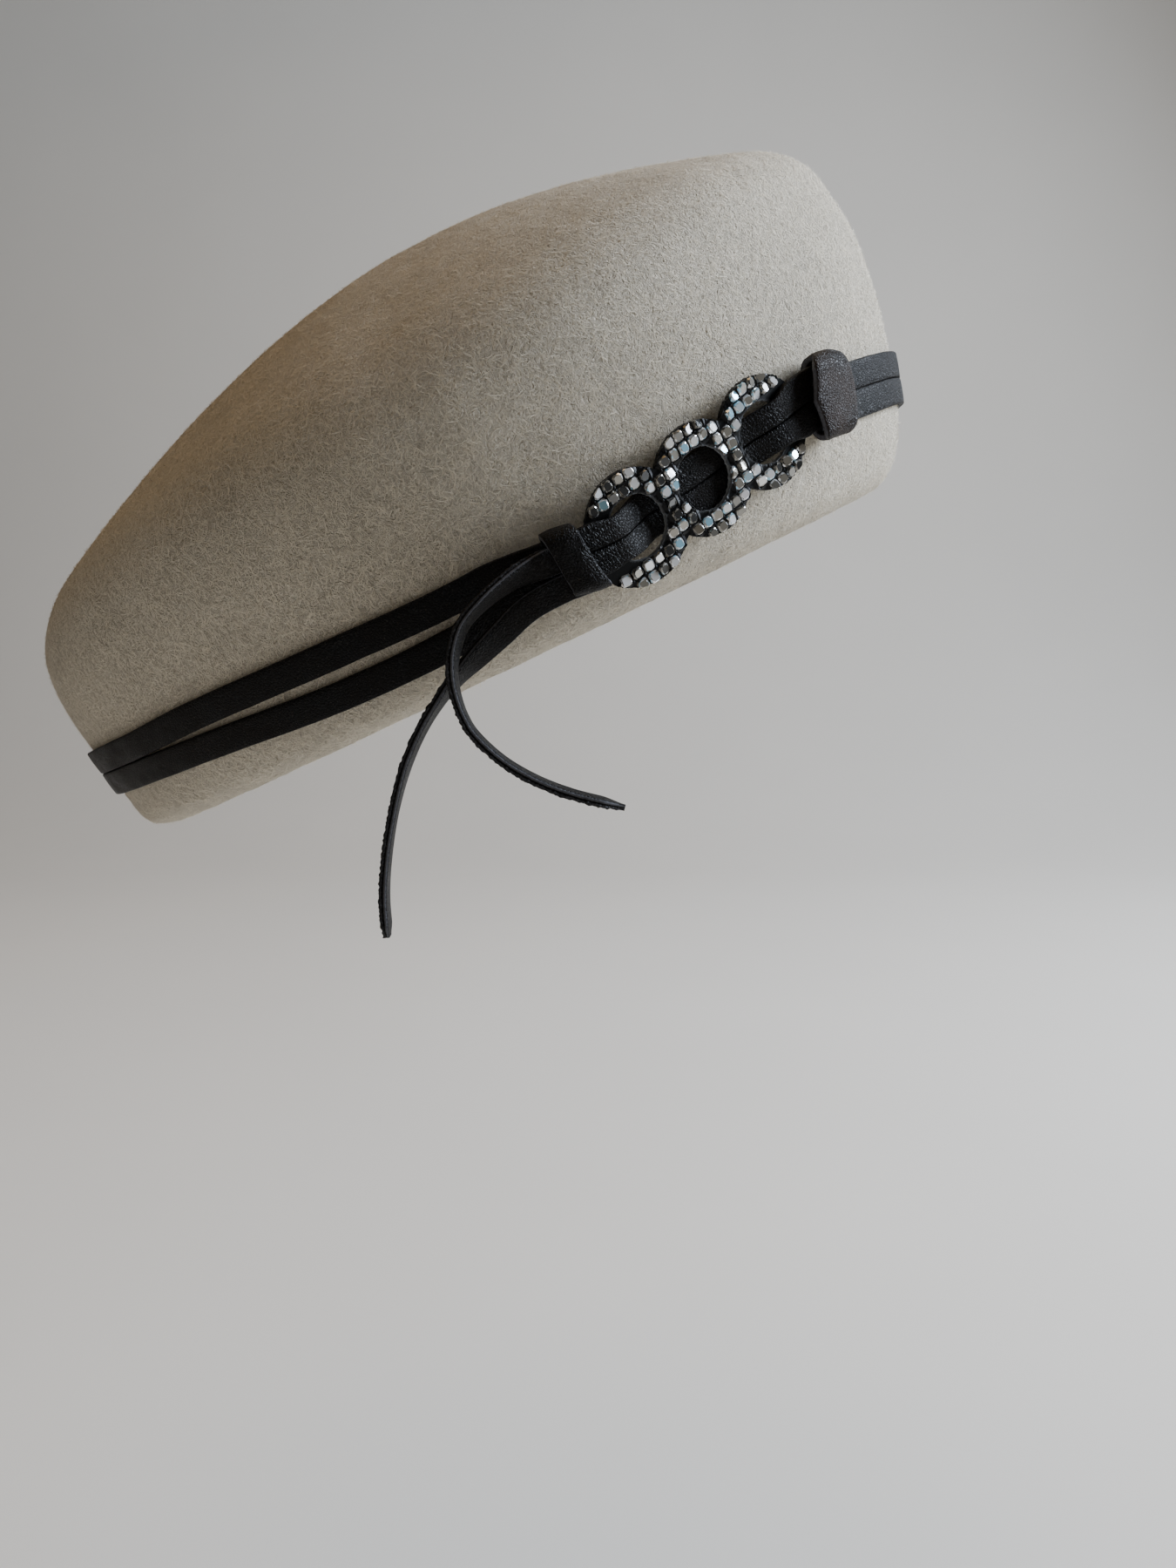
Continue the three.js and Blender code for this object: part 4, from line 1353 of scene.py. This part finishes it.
@dataclass(frozen=True)
class Keeper:
    """A leather loop that holds the strips together at one end of the trim.

    Attributes:
        line: the strap line.
        middle: where it sits along the line.
        width: its leather's width.
        layers: how thick the pile of leather in it is.
        lean: how far it leans along the line, in radians.
        bow: how far its middle bulges to the front.
        flare: how far the lower end of its front edge reaches forward.
        top_cut: how far the upper end of its rear edge is cut back.
        overhang: how far its outer wall reaches back over the strips.
        droop: how far its lower end hangs below the strips.
        puff: how far its leather bulges out in the middle.
        corner: radius of its corners.
        back_bow: share of the bow that its rear edge has.
        crease: depth of its creases.
        crease_size: distance between them.
    """

    line: StrapLine
    middle: float
    width: float
    layers: float
    lean: float
    bow: float = 0.0
    flare: float = 0.0
    top_cut: float = 0.0
    overhang: float = 0.0
    droop: float = 0.0
    puff: float = 0.35 * MM
    corner: float = 2.2 * MM
    back_bow: float = 0.6
    crease: float = 0.12 * MM
    crease_size: float = 2.4 * MM
    corner_steps: int = 8
    flat_steps: int = 10
    width_steps: int = 14

    def path(self) -> list:
        """Places round the loop: across, off, and the outward direction there."""
        sizes = self.line.sizes
        low = -sizes.strip_thickness / 2 - sizes.clearance
        half_across = sizes.strap_half + sizes.keeper_side_gap + sizes.keeper_thickness / 2
        half_tall = (self.layers + sizes.keeper_thickness) / 2
        centre = low + self.layers / 2
        corner = min(half_tall, self.corner)
        turns = []
        for sideways, upward in ((1, 1), (-1, 1), (-1, -1), (1, -1)):
            start = math.atan2(upward, sideways) - math.pi / 4
            for i in range(self.corner_steps + 1):
                turn = start + i / self.corner_steps * math.pi / 2
                across = sideways * (half_across - corner) + math.cos(turn) * corner
                off = centre + upward * (half_tall - corner) + math.sin(turn) * corner
                turns.append((across, off, math.cos(turn), math.sin(turn)))
        path = []
        for here, there in zip(turns, turns[1:] + turns[:1]):
            path.append(here)
            is_flat = abs(here[2] - there[2]) + abs(here[3] - there[3]) < 1e-6
            if is_flat:
                for k in range(1, self.flat_steps):
                    share = k / self.flat_steps
                    path.append(tuple(mix(a, b, share) for a, b in zip(here, there)))
        return path

    def section(self) -> list:
        """Outline across the loop's leather: along the strap, outward, and cut edge."""
        half = self.line.sizes.keeper_thickness / 2
        outer = []
        for i in range(self.width_steps + 1):
            share = 1 - 2 * i / self.width_steps
            outer.append((share * 0.97, half + self.puff * (1 - share**2), 0.0))
        side = [(-1, 0.6 * half, 0.8), (-1, 0, 1.0), (-1, -0.6 * half, 0.8)]
        inner = [(share, -half, 0.0) for share in (-0.95, 0, 0.95)]
        return outer + side + inner + [(-x, y, edge) for x, y, edge in reversed(side)]

    def make(self, name: str, node: str, material: bpy.types.Material) -> bpy.types.Object:
        """Builds the keeper."""
        section = self.section()
        slope = math.tan(self.lean)
        path = self.path()
        half_across = max(place[0] for place in path)
        offs = [place[1] for place in path]
        centre, half_tall = (max(offs) + min(offs)) / 2, (max(offs) - min(offs)) / 2
        points = []
        for across, off, out_across, out_off in path:
            for x, thick, edge in section:
                fore = (1 + x) / 2
                share = across / half_across
                above, below = max(0.0, share), max(0.0, -share)
                bowed = self.bow * (1 - share**2) * mix(self.back_bow, 1, fore) + self.flare * below**2 * fore
                outside = ease((off - centre) / half_tall)
                cut_back = (self.top_cut * above - self.overhang * outside) * (1 - fore)
                length = self.middle + x * self.width / 2 + across * slope + bowed + cut_back
                hung = across + out_across * thick - self.droop * below
                gathered = self.line.gather(length, hung)
                level = self.line.strip_level(length) + off + out_off * thick
                at = self.line.place(length, gathered, level)
                crease = self.crease * noise.noise(at / self.crease_size) if thick > 0 else 0.0
                points.append(at + Vector((crease, crease, crease)))
        faces = ring_faces(len(path), len(section), True, False)
        keeper = mesh_from(name, self.line.form.to_row(np.array(points)), faces)
        set_values(keeper, "cut_edge", [row[2] for row in section] * len(path))
        return finish_piece(keeper, material, Slot.LEATHER, node)


@dataclass(frozen=True)
class RoutePoint:
    """A point of a tail's middle line. At a turn of 0 degrees its cut edge faces the viewer."""

    x: float
    y: float
    z: float
    turn: float


CURLED_ROUTE = (
    RoutePoint(0.0158, -0.1027, 0.0238, 73),
    RoutePoint(0.0133, -0.1027, 0.0229, 73),
    RoutePoint(0.0098, -0.1029, 0.0215, 70),
    RoutePoint(0.0068, -0.1039, 0.0203, 55),
    RoutePoint(0.003, -0.1052, 0.0184, 33),
    RoutePoint(-0.0019, -0.1065, 0.0147, 19),
    RoutePoint(-0.006, -0.107, 0.0103, 12),
    RoutePoint(-0.0078, -0.107, 0.0058, 9),
    RoutePoint(-0.0084, -0.107, 0.0017, 4),
    RoutePoint(-0.008, -0.107, -0.0024, 2),
    RoutePoint(-0.0066, -0.107, -0.0069, 0),
    RoutePoint(-0.0042, -0.107, -0.0109, 0),
    RoutePoint(0.001, -0.107, -0.0157, 0),
    RoutePoint(0.0073, -0.107, -0.0194, 0),
    RoutePoint(0.014, -0.107, -0.022, 0),
    RoutePoint(0.021, -0.107, -0.0238, 0),
    RoutePoint(0.024, -0.107, -0.0246, 0),
)
LONG_ROUTE = (
    RoutePoint(0.0178, -0.1012, 0.0186, 73),
    RoutePoint(0.0152, -0.1012, 0.0177, 73),
    RoutePoint(0.0118, -0.1014, 0.0163, 73),
    RoutePoint(0.0072, -0.1019, 0.0139, 70),
    RoutePoint(0.0042, -0.1017, 0.0117, 66),
    RoutePoint(0.0012, -0.1012, 0.0088, 60),
    RoutePoint(-0.0039, -0.1005, 0.004, 44),
    RoutePoint(-0.0079, -0.1, 0.0, 24),
    RoutePoint(-0.0113, -0.1, -0.0042, 12),
    RoutePoint(-0.0151, -0.1, -0.0101, 7),
    RoutePoint(-0.0185, -0.1, -0.0176, 5),
    RoutePoint(-0.021, -0.1, -0.0264, 0),
    RoutePoint(-0.0226, -0.1, -0.0353, 0),
    RoutePoint(-0.0233, -0.1, -0.0437, 0),
    RoutePoint(-0.0229, -0.1, -0.0517, 0),
)


@dataclass(frozen=True)
class Tail:
    """A free leather tail that hangs from the rear keeper.

    Attributes:
        route: its middle line.
        sizes: the strap's sizes.
        point_length: how long its tapered end is.
        point_width: share of the width that the very end has.
        point_thickness: share of the thickness left where the width has gone to nothing.
        exit_row: the route's point where it leaves the keeper.
        crown: how far the middle of its flat side stands proud.
        groove: how far the middle of its cut edge lies back.
        upper_paleness: how pale the cut edge's upper layer is.
        lower_paleness: how pale its lower layer is: the raw edge's own paleness with a painted highlight, as
            on both tails that side faces the lights.
        rough: how ragged its cut edge is.
        rough_size: distance between the rags.
        lint_share: how far lint stands off, as a share of the roughness.
        lint_size: distance between the ends of lint.
        steps: parts of the mesh for each span of the route.
    """

    route: tuple
    sizes: StrapSizes
    point_length: float
    point_width: float
    point_thickness: float = 0.6
    exit_row: int = 2
    crown: float = 0.05 * MM
    groove: float = 0.35 * MM
    upper_paleness: float = 0.45
    # Painted highlight on the lower layer's cut edge, which faces the lights, over the raw edge's own
    # paleness.
    lower_paleness: float = 1.0
    rough: float = 0.3 * MM
    rough_size: float = 0.6 * MM
    lint_share: float = 0.2
    lint_size: float = 0.35 * MM
    steps: int = 26

    def make(self, name: str, node: str, material: bpy.types.Material) -> bpy.types.Object:
        rows = np.array([(p.x, p.y, p.z, p.turn) for p in self.route])
        fine = catmull_rom(rows, self.steps)
        path, turns = fine[:, :3], np.radians(fine[:, 3])
        tangents = np.gradient(path, axis=0)
        tangents /= np.linalg.norm(tangents, axis=1, keepdims=True)
        gone = np.concatenate([[0], np.cumsum(np.linalg.norm(np.diff(path, axis=0), axis=1))])
        section = flat_section(
            self.sizes.tail_width / 2,
            self.sizes.tail_thickness / 2,
            self.crown,
            self.groove,
            self.upper_paleness,
            self.lower_paleness,
        )
        points = []
        for place, tangent, turn, at in zip(path, tangents, turns, gone):
            along = Vector(tangent)
            edge_on = Vector((0, -1, 0))
            edge_on = (edge_on - along * edge_on.dot(along)).normalized()
            flat_on = along.cross(edge_on)
            width = edge_on * math.cos(turn) + flat_on * math.sin(turn)
            thick = along.cross(width)
            left = gone[-1] - at
            share = mix(self.point_width, 1, ease(left / self.point_length))
            for x, off, edge in section:
                depth = thick * off * mix(self.point_thickness, 1, share)
                spot = Vector(place) + width * x * share + depth
                jag = self.rough * noise.noise(spot / self.rough_size) if off > 0 else 0.0
                lint = self.lint_share * self.rough * edge * noise.noise(spot / self.lint_size)
                points.append(spot + thick * (jag + lint) + width * math.copysign(jag * edge, x))
        faces = ring_faces(len(path), len(section), False, True)
        tail = mesh_from(name, np.array(points), faces)
        set_values(tail, "cut_edge", [row[2] for row in section] * len(path))
        finish_piece(tail, material, Slot.LEATHER, node)
        return tail


@dataclass(frozen=True)
class RingTrim:
    """Three joined rings of crystal netting: the black netting and the cut stones in it.

    Attributes:
        line: the strap line.
        cells: parts of the netting's mesh for each stone.
        net_rise: how far its bars stand up between the stones.
        net_share: how far a bar's slope reaches from its middle, as a share of the stones' distance.
        net_steepness: how soon a bar reaches its full height.
        foil_top: how pale the backing makes the top of a hole's cut wall.
        foil_base: how pale it makes the wall's foot.
        hole_reach: how far from a ring's middle an edge counts as its hole's, as a share of the ring.
        jag: how ragged the cut outline is.
        jag_size: distance between the rags.
        jag_dip: the deepest dent, as a share of the raggedness.
        probe: step for finding which way is deeper into the band.
        stone_half: half a stone's width.
        stone_spread: the smallest and largest stone, as shares of it.
        stone_turn: how far stones are turned, in radians.
        stone_tilt: how far they are tilted, as a slope.
        stone_flat: half the length of a stone's straight sides, as a share of its half width.
        waist_share: width where the upper and lower facets meet, as a share of the stone's.
        waist_height: height there, as a share of the stone's.
        table_share: width of the flat top, as a share of the stone's.
        girdle_share: height of the upright girdle, as a share of the stone's.
        smallest_share: the least depth in the band for a stone, as a share of its diameter.
        flash_tone_reach: the brightest tone that a whole stone gets, which picks its painted flash colour.
        facet_flash_scatter: how far the painted flashes of a stone's facets differ in tone.
        seed: seed of the small differences.
    """

    line: StrapLine
    cells: int = 8
    net_rise: float = 0.42 * MM
    net_share: float = 0.17
    net_steepness: float = 1.6
    foil_top: float = 0.1
    foil_base: float = 0.45
    hole_reach: float = 0.33
    jag: float = 0.22 * MM
    jag_size: float = 0.7 * MM
    jag_dip: float = -0.3
    probe: float = 0.05 * MM
    stone_half: float = 1.15 * MM
    stone_spread: tuple = (0.95, 1.02)
    stone_turn: float = 0.1
    stone_tilt: float = 0.26
    stone_flat: float = 0.58
    waist_share: float = 0.88
    waist_height: float = 0.78
    table_share: float = 0.66
    girdle_share: float = 0.3
    smallest_share: float = 0.1
    flash_tone_reach: float = 0.9
    facet_flash_scatter: float = 0.24
    seed: int = 11

    def depth(self, x: float, y: float) -> float:
        """Distance from a place on the plate to the nearest edge of the band, negative off it."""
        sizes = self.line.sizes
        away = [math.hypot(x - c, y) for c in sizes.ring_centres]
        outer = max(sizes.ring_outer / 2 - a for a in away)
        return min(outer, min(a - sizes.ring_hole / 2 for a in away))

    def uphill(self, x: float, y: float) -> Vector:
        """Direction in which a place gets deeper into the band."""
        slope_x = self.depth(x + self.probe, y) - self.depth(x - self.probe, y)
        slope_y = self.depth(x, y + self.probe) - self.depth(x, y - self.probe)
        slope = Vector((slope_x, slope_y))
        return slope.normalized() if slope.length > 0 else slope

    def is_under_strips(self, x: float, y: float) -> bool:
        """Whether the strips lie on the plate there."""
        sizes = self.line.sizes
        near = sizes.strap_half + sizes.clearance + sizes.stone_diameter / 2
        return abs(x) > sizes.ring_spacing and abs(y) < near

    def bend(self, x: float, y: float, height: float) -> Vector:
        """Lays a point of the flat plate along the strap line."""
        return self.line.place(x, y, self.line.underside(x) + height)

    def bar_height(self, x: float, y: float) -> float:
        """How far the netting stands up at a place: its bars run between the stones."""
        if self.is_under_strips(x, y):
            return 0.0
        pitch = self.line.sizes.stone_pitch
        to_bar = min(abs(place - round(place)) for place in ((x / pitch) % 1, (y / pitch + 0.5) % 1))
        return self.net_rise * min(1.0, self.net_steepness * max(0.0, 1 - to_bar / self.net_share))

    def make_net(self, material: bpy.types.Material) -> bpy.types.Object:
        """Builds the netting plate with its raised bars and ragged cut outline."""
        sizes = self.line.sizes
        step = sizes.stone_pitch / self.cells
        across = math.ceil(sizes.ring_outer / 2 / step) + 1
        along = math.ceil(sizes.trim_half / step) + 1
        cells = [
            (i, j)
            for i in range(-along, along)
            for j in range(-across, across)
            if self.depth((i + 0.5) * step, (j + 0.5) * step) > 0
        ]
        corners = {}
        counts = {}
        for i, j in cells:
            for corner in ((i, j), (i + 1, j), (i + 1, j + 1), (i, j + 1)):
                counts[corner] = counts.get(corner, 0) + 1
        points, foil = [], []
        for corner, count in counts.items():
            i, j = corner
            x, y = i * step, j * step
            is_edge = count < 4
            if is_edge:
                spike = self.jag * max(noise.noise(Vector((x, y, 0)) / self.jag_size), self.jag_dip)
                shift = self.uphill(x, y) * (-self.depth(x, y) - spike)
                x, y = x + shift.x, y + shift.y
            corners[corner] = len(points)
            points.append(self.bend(x, y, sizes.plate_thickness + self.bar_height(x, y)))
            points.append(self.bend(x, y, 0.0))
            away = min(math.hypot(x - c, y) for c in sizes.ring_centres)
            shows_foil = is_edge and away < sizes.ring_outer * self.hole_reach
            foil.extend([self.foil_top, self.foil_base] if shows_foil else [0.0, 0.0])
        faces = []
        for i, j in cells:
            loop = [corners[(i, j)], corners[(i + 1, j)], corners[(i + 1, j + 1)], corners[(i, j + 1)]]
            faces.append(loop)
            faces.append([k + 1 for k in reversed(loop)])
        inside = set(cells)
        for i, j in cells:
            sides = (
                ((i, j - 1), (i, j), (i + 1, j)),
                ((i + 1, j), (i + 1, j), (i + 1, j + 1)),
                ((i, j + 1), (i + 1, j + 1), (i, j + 1)),
                ((i - 1, j), (i, j + 1), (i, j)),
            )
            for neighbour, start, end in sides:
                if neighbour not in inside:
                    a, b = corners[start], corners[end]
                    faces.append([a, a + 1, b + 1, b])
        net = mesh_from("trim_netting", self.line.form.to_row(np.array(points)), faces, smooth=False)
        set_values(net, "foil", foil)
        return finish_piece(net, material, Slot.CRYSTAL, "ring_trim")

    def stone(self, draw: random.Random, x: float, y: float) -> tuple:
        """One cut stone: a table, a ring of crown facets, a girdle and a flat back.

        Args:
            draw: source of the small differences between stones.
            x: place along the trim.
            y: place across it.

        Returns:
            Points on the flat plate and faces.
        """
        sizes = self.line.sizes
        half = self.stone_half * draw.uniform(*self.stone_spread)
        turn = draw.gauss(0, self.stone_turn)
        flat = self.stone_flat
        quarter = ((1, -flat), (1, flat), (flat, 1), (-flat, 1))
        corners = quarter + tuple((-across, -up) for across, up in quarter)
        tilt_x, tilt_y = (draw.gauss(0, self.stone_tilt) for _ in range(2))
        base = sizes.plate_thickness
        rows = (
            (1.0, 0.0, 0.0),
            (1.0, self.girdle_share, 0.0),
            (self.waist_share, self.waist_height, 0.5),
            (self.table_share, 1.0, 0.0),
        )
        points = []
        for share, height, offset in rows:
            for k in range(len(corners)):
                here, there = corners[k], corners[(k + 1) % len(corners)]
                flat_x, flat_y = (mix(here[i], there[i], offset) * half * share for i in (0, 1))
                px = flat_x * math.cos(turn) - flat_y * math.sin(turn)
                py = flat_x * math.sin(turn) + flat_y * math.cos(turn)
                rise = sizes.stone_rise * height + (px * tilt_x + py * tilt_y) * height
                points.append(Vector((x + px, y + py, base + rise)))
        n = len(corners)
        faces = [list(range(n))[::-1], [3 * n + k for k in range(n)]]
        for k in range(n):
            m = (k + 1) % n
            faces.append([k, m, n + m, n + k])
            faces.append([n + k, n + m, 2 * n + k])
            faces.append([n + m, 2 * n + m, 2 * n + k])
            faces.append([2 * n + k, 3 * n + m, 3 * n + k])
            faces.append([2 * n + k, 2 * n + m, 3 * n + m])
        return points, faces

    def make_stones(self, material: bpy.types.Material) -> bpy.types.Object:
        """Builds the stones, cutting those at the outline with it."""
        sizes = self.line.sizes
        draw = random.Random(self.seed)
        columns = math.ceil(sizes.trim_half / sizes.stone_pitch)
        rows = math.ceil(sizes.ring_outer / 2 / sizes.stone_pitch)
        smallest = sizes.stone_diameter * self.smallest_share
        points, faces, flash_tones = [], [], []
        for i in range(-columns, columns + 1):
            for j in range(-rows, rows + 1):
                x, y = (i + 0.5) * sizes.stone_pitch, j * sizes.stone_pitch
                depth = self.depth(x, y)
                if depth <= smallest or self.is_under_strips(x, y):
                    continue
                spots, stone_faces = self.stone(draw, x, y)
                # Painted flashes: the stone's tone, with each facet's scatter, picks its painted reflection
                # colour.
                tone = draw.random() * self.flash_tone_reach
                if depth < sizes.stone_diameter / 2:
                    for spot in spots:
                        over = -self.depth(spot.x, spot.y)
                        if over > 0:
                            shift = self.uphill(spot.x, spot.y) * over
                            spot.x += shift.x
                            spot.y += shift.y
                first = len(points)
                points.extend(self.bend(s.x, s.y, s.z) for s in spots)
                faces.extend([[first + k for k in face] for face in stone_faces])
                flash_tones.extend(tone + draw.gauss(0, self.facet_flash_scatter) for _ in stone_faces)
        stones = mesh_from("trim_stones", self.line.form.to_row(np.array(points)), faces, smooth=False)
        set_values(stones, "tone", flash_tones, "FACE")
        return finish_piece(stones, material, Slot.CRYSTAL, "ring_trim")


def main() -> None:
    """Loads the frame and builds the hat's pieces in order."""
    logging.basicConfig(level=logging.INFO, format="%(message)s")
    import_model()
    studio = Studio()
    studio.add_camera()
    sizes = StrapSizes()
    leather = PebbledLeather().make()
    Tail(CURLED_ROUTE, sizes, 5 * MM, 0.25).make("tail_curled_leather", "tail_curled", leather)
    Tail(LONG_ROUTE, sizes, 2.5 * MM, 0.5).make("tail_long_leather", "tail_long", leather)
    studio.add_lights()
    studio.add_sweep()
    form = HatForm()
    crown = FeltCrown(form)
    crown.make_shell(WoolFelt().make())
    wool = WoolHair().make()
    for layer in range(crown.hair_layers):
        crown.make_hairs(layer, wool)
    line = StrapLine(form, sizes)
    StrapStrip(line, Side.UPPER).make("strip_upper_leather", "strip_upper", leather)
    StrapStrip(line, Side.LOWER).make("strip_lower_leather", "strip_lower", leather)
    front_layers = sizes.strip_thickness + 2 * sizes.clearance + sizes.keeper_front_slack
    rear_layers = (
        sizes.strip_thickness + sizes.tail_thickness + 3 * sizes.clearance + sizes.keeper_rear_slack
    )
    front_keeper = Keeper(
        line,
        line.front_keeper,
        sizes.keeper_front_width,
        front_layers,
        sizes.keeper_front_lean,
        bow=1.4 * MM,
        top_cut=4.6 * MM,
        overhang=2.6 * MM,
        droop=0.6 * MM,
    )
    # Painted light: a lighter, browner copy of the black leather for the front keeper, where the window light
    # falls on it.
    front_lit_leather = PebbledLeather("pebbled_leather_lit_copy", "#120c08", "#2b1f16", "#4c433b").make()
    front_keeper.make("keeper_front_leather", "keeper_front", front_lit_leather)
    rear_keeper = Keeper(
        line,
        line.rear_keeper + sizes.keeper_rear_trim / 2,
        sizes.keeper_rear_width - sizes.keeper_rear_trim,
        rear_layers,
        sizes.keeper_rear_lean,
        flare=0.8 * MM,
    )
    rear_keeper.make("keeper_rear_leather", "keeper_rear", leather)
    trim = RingTrim(line)
    trim.make_net(MouldedMesh().make())
    trim.make_stones(FoiledCrystal().make())


if __name__ == "__main__":
    main()
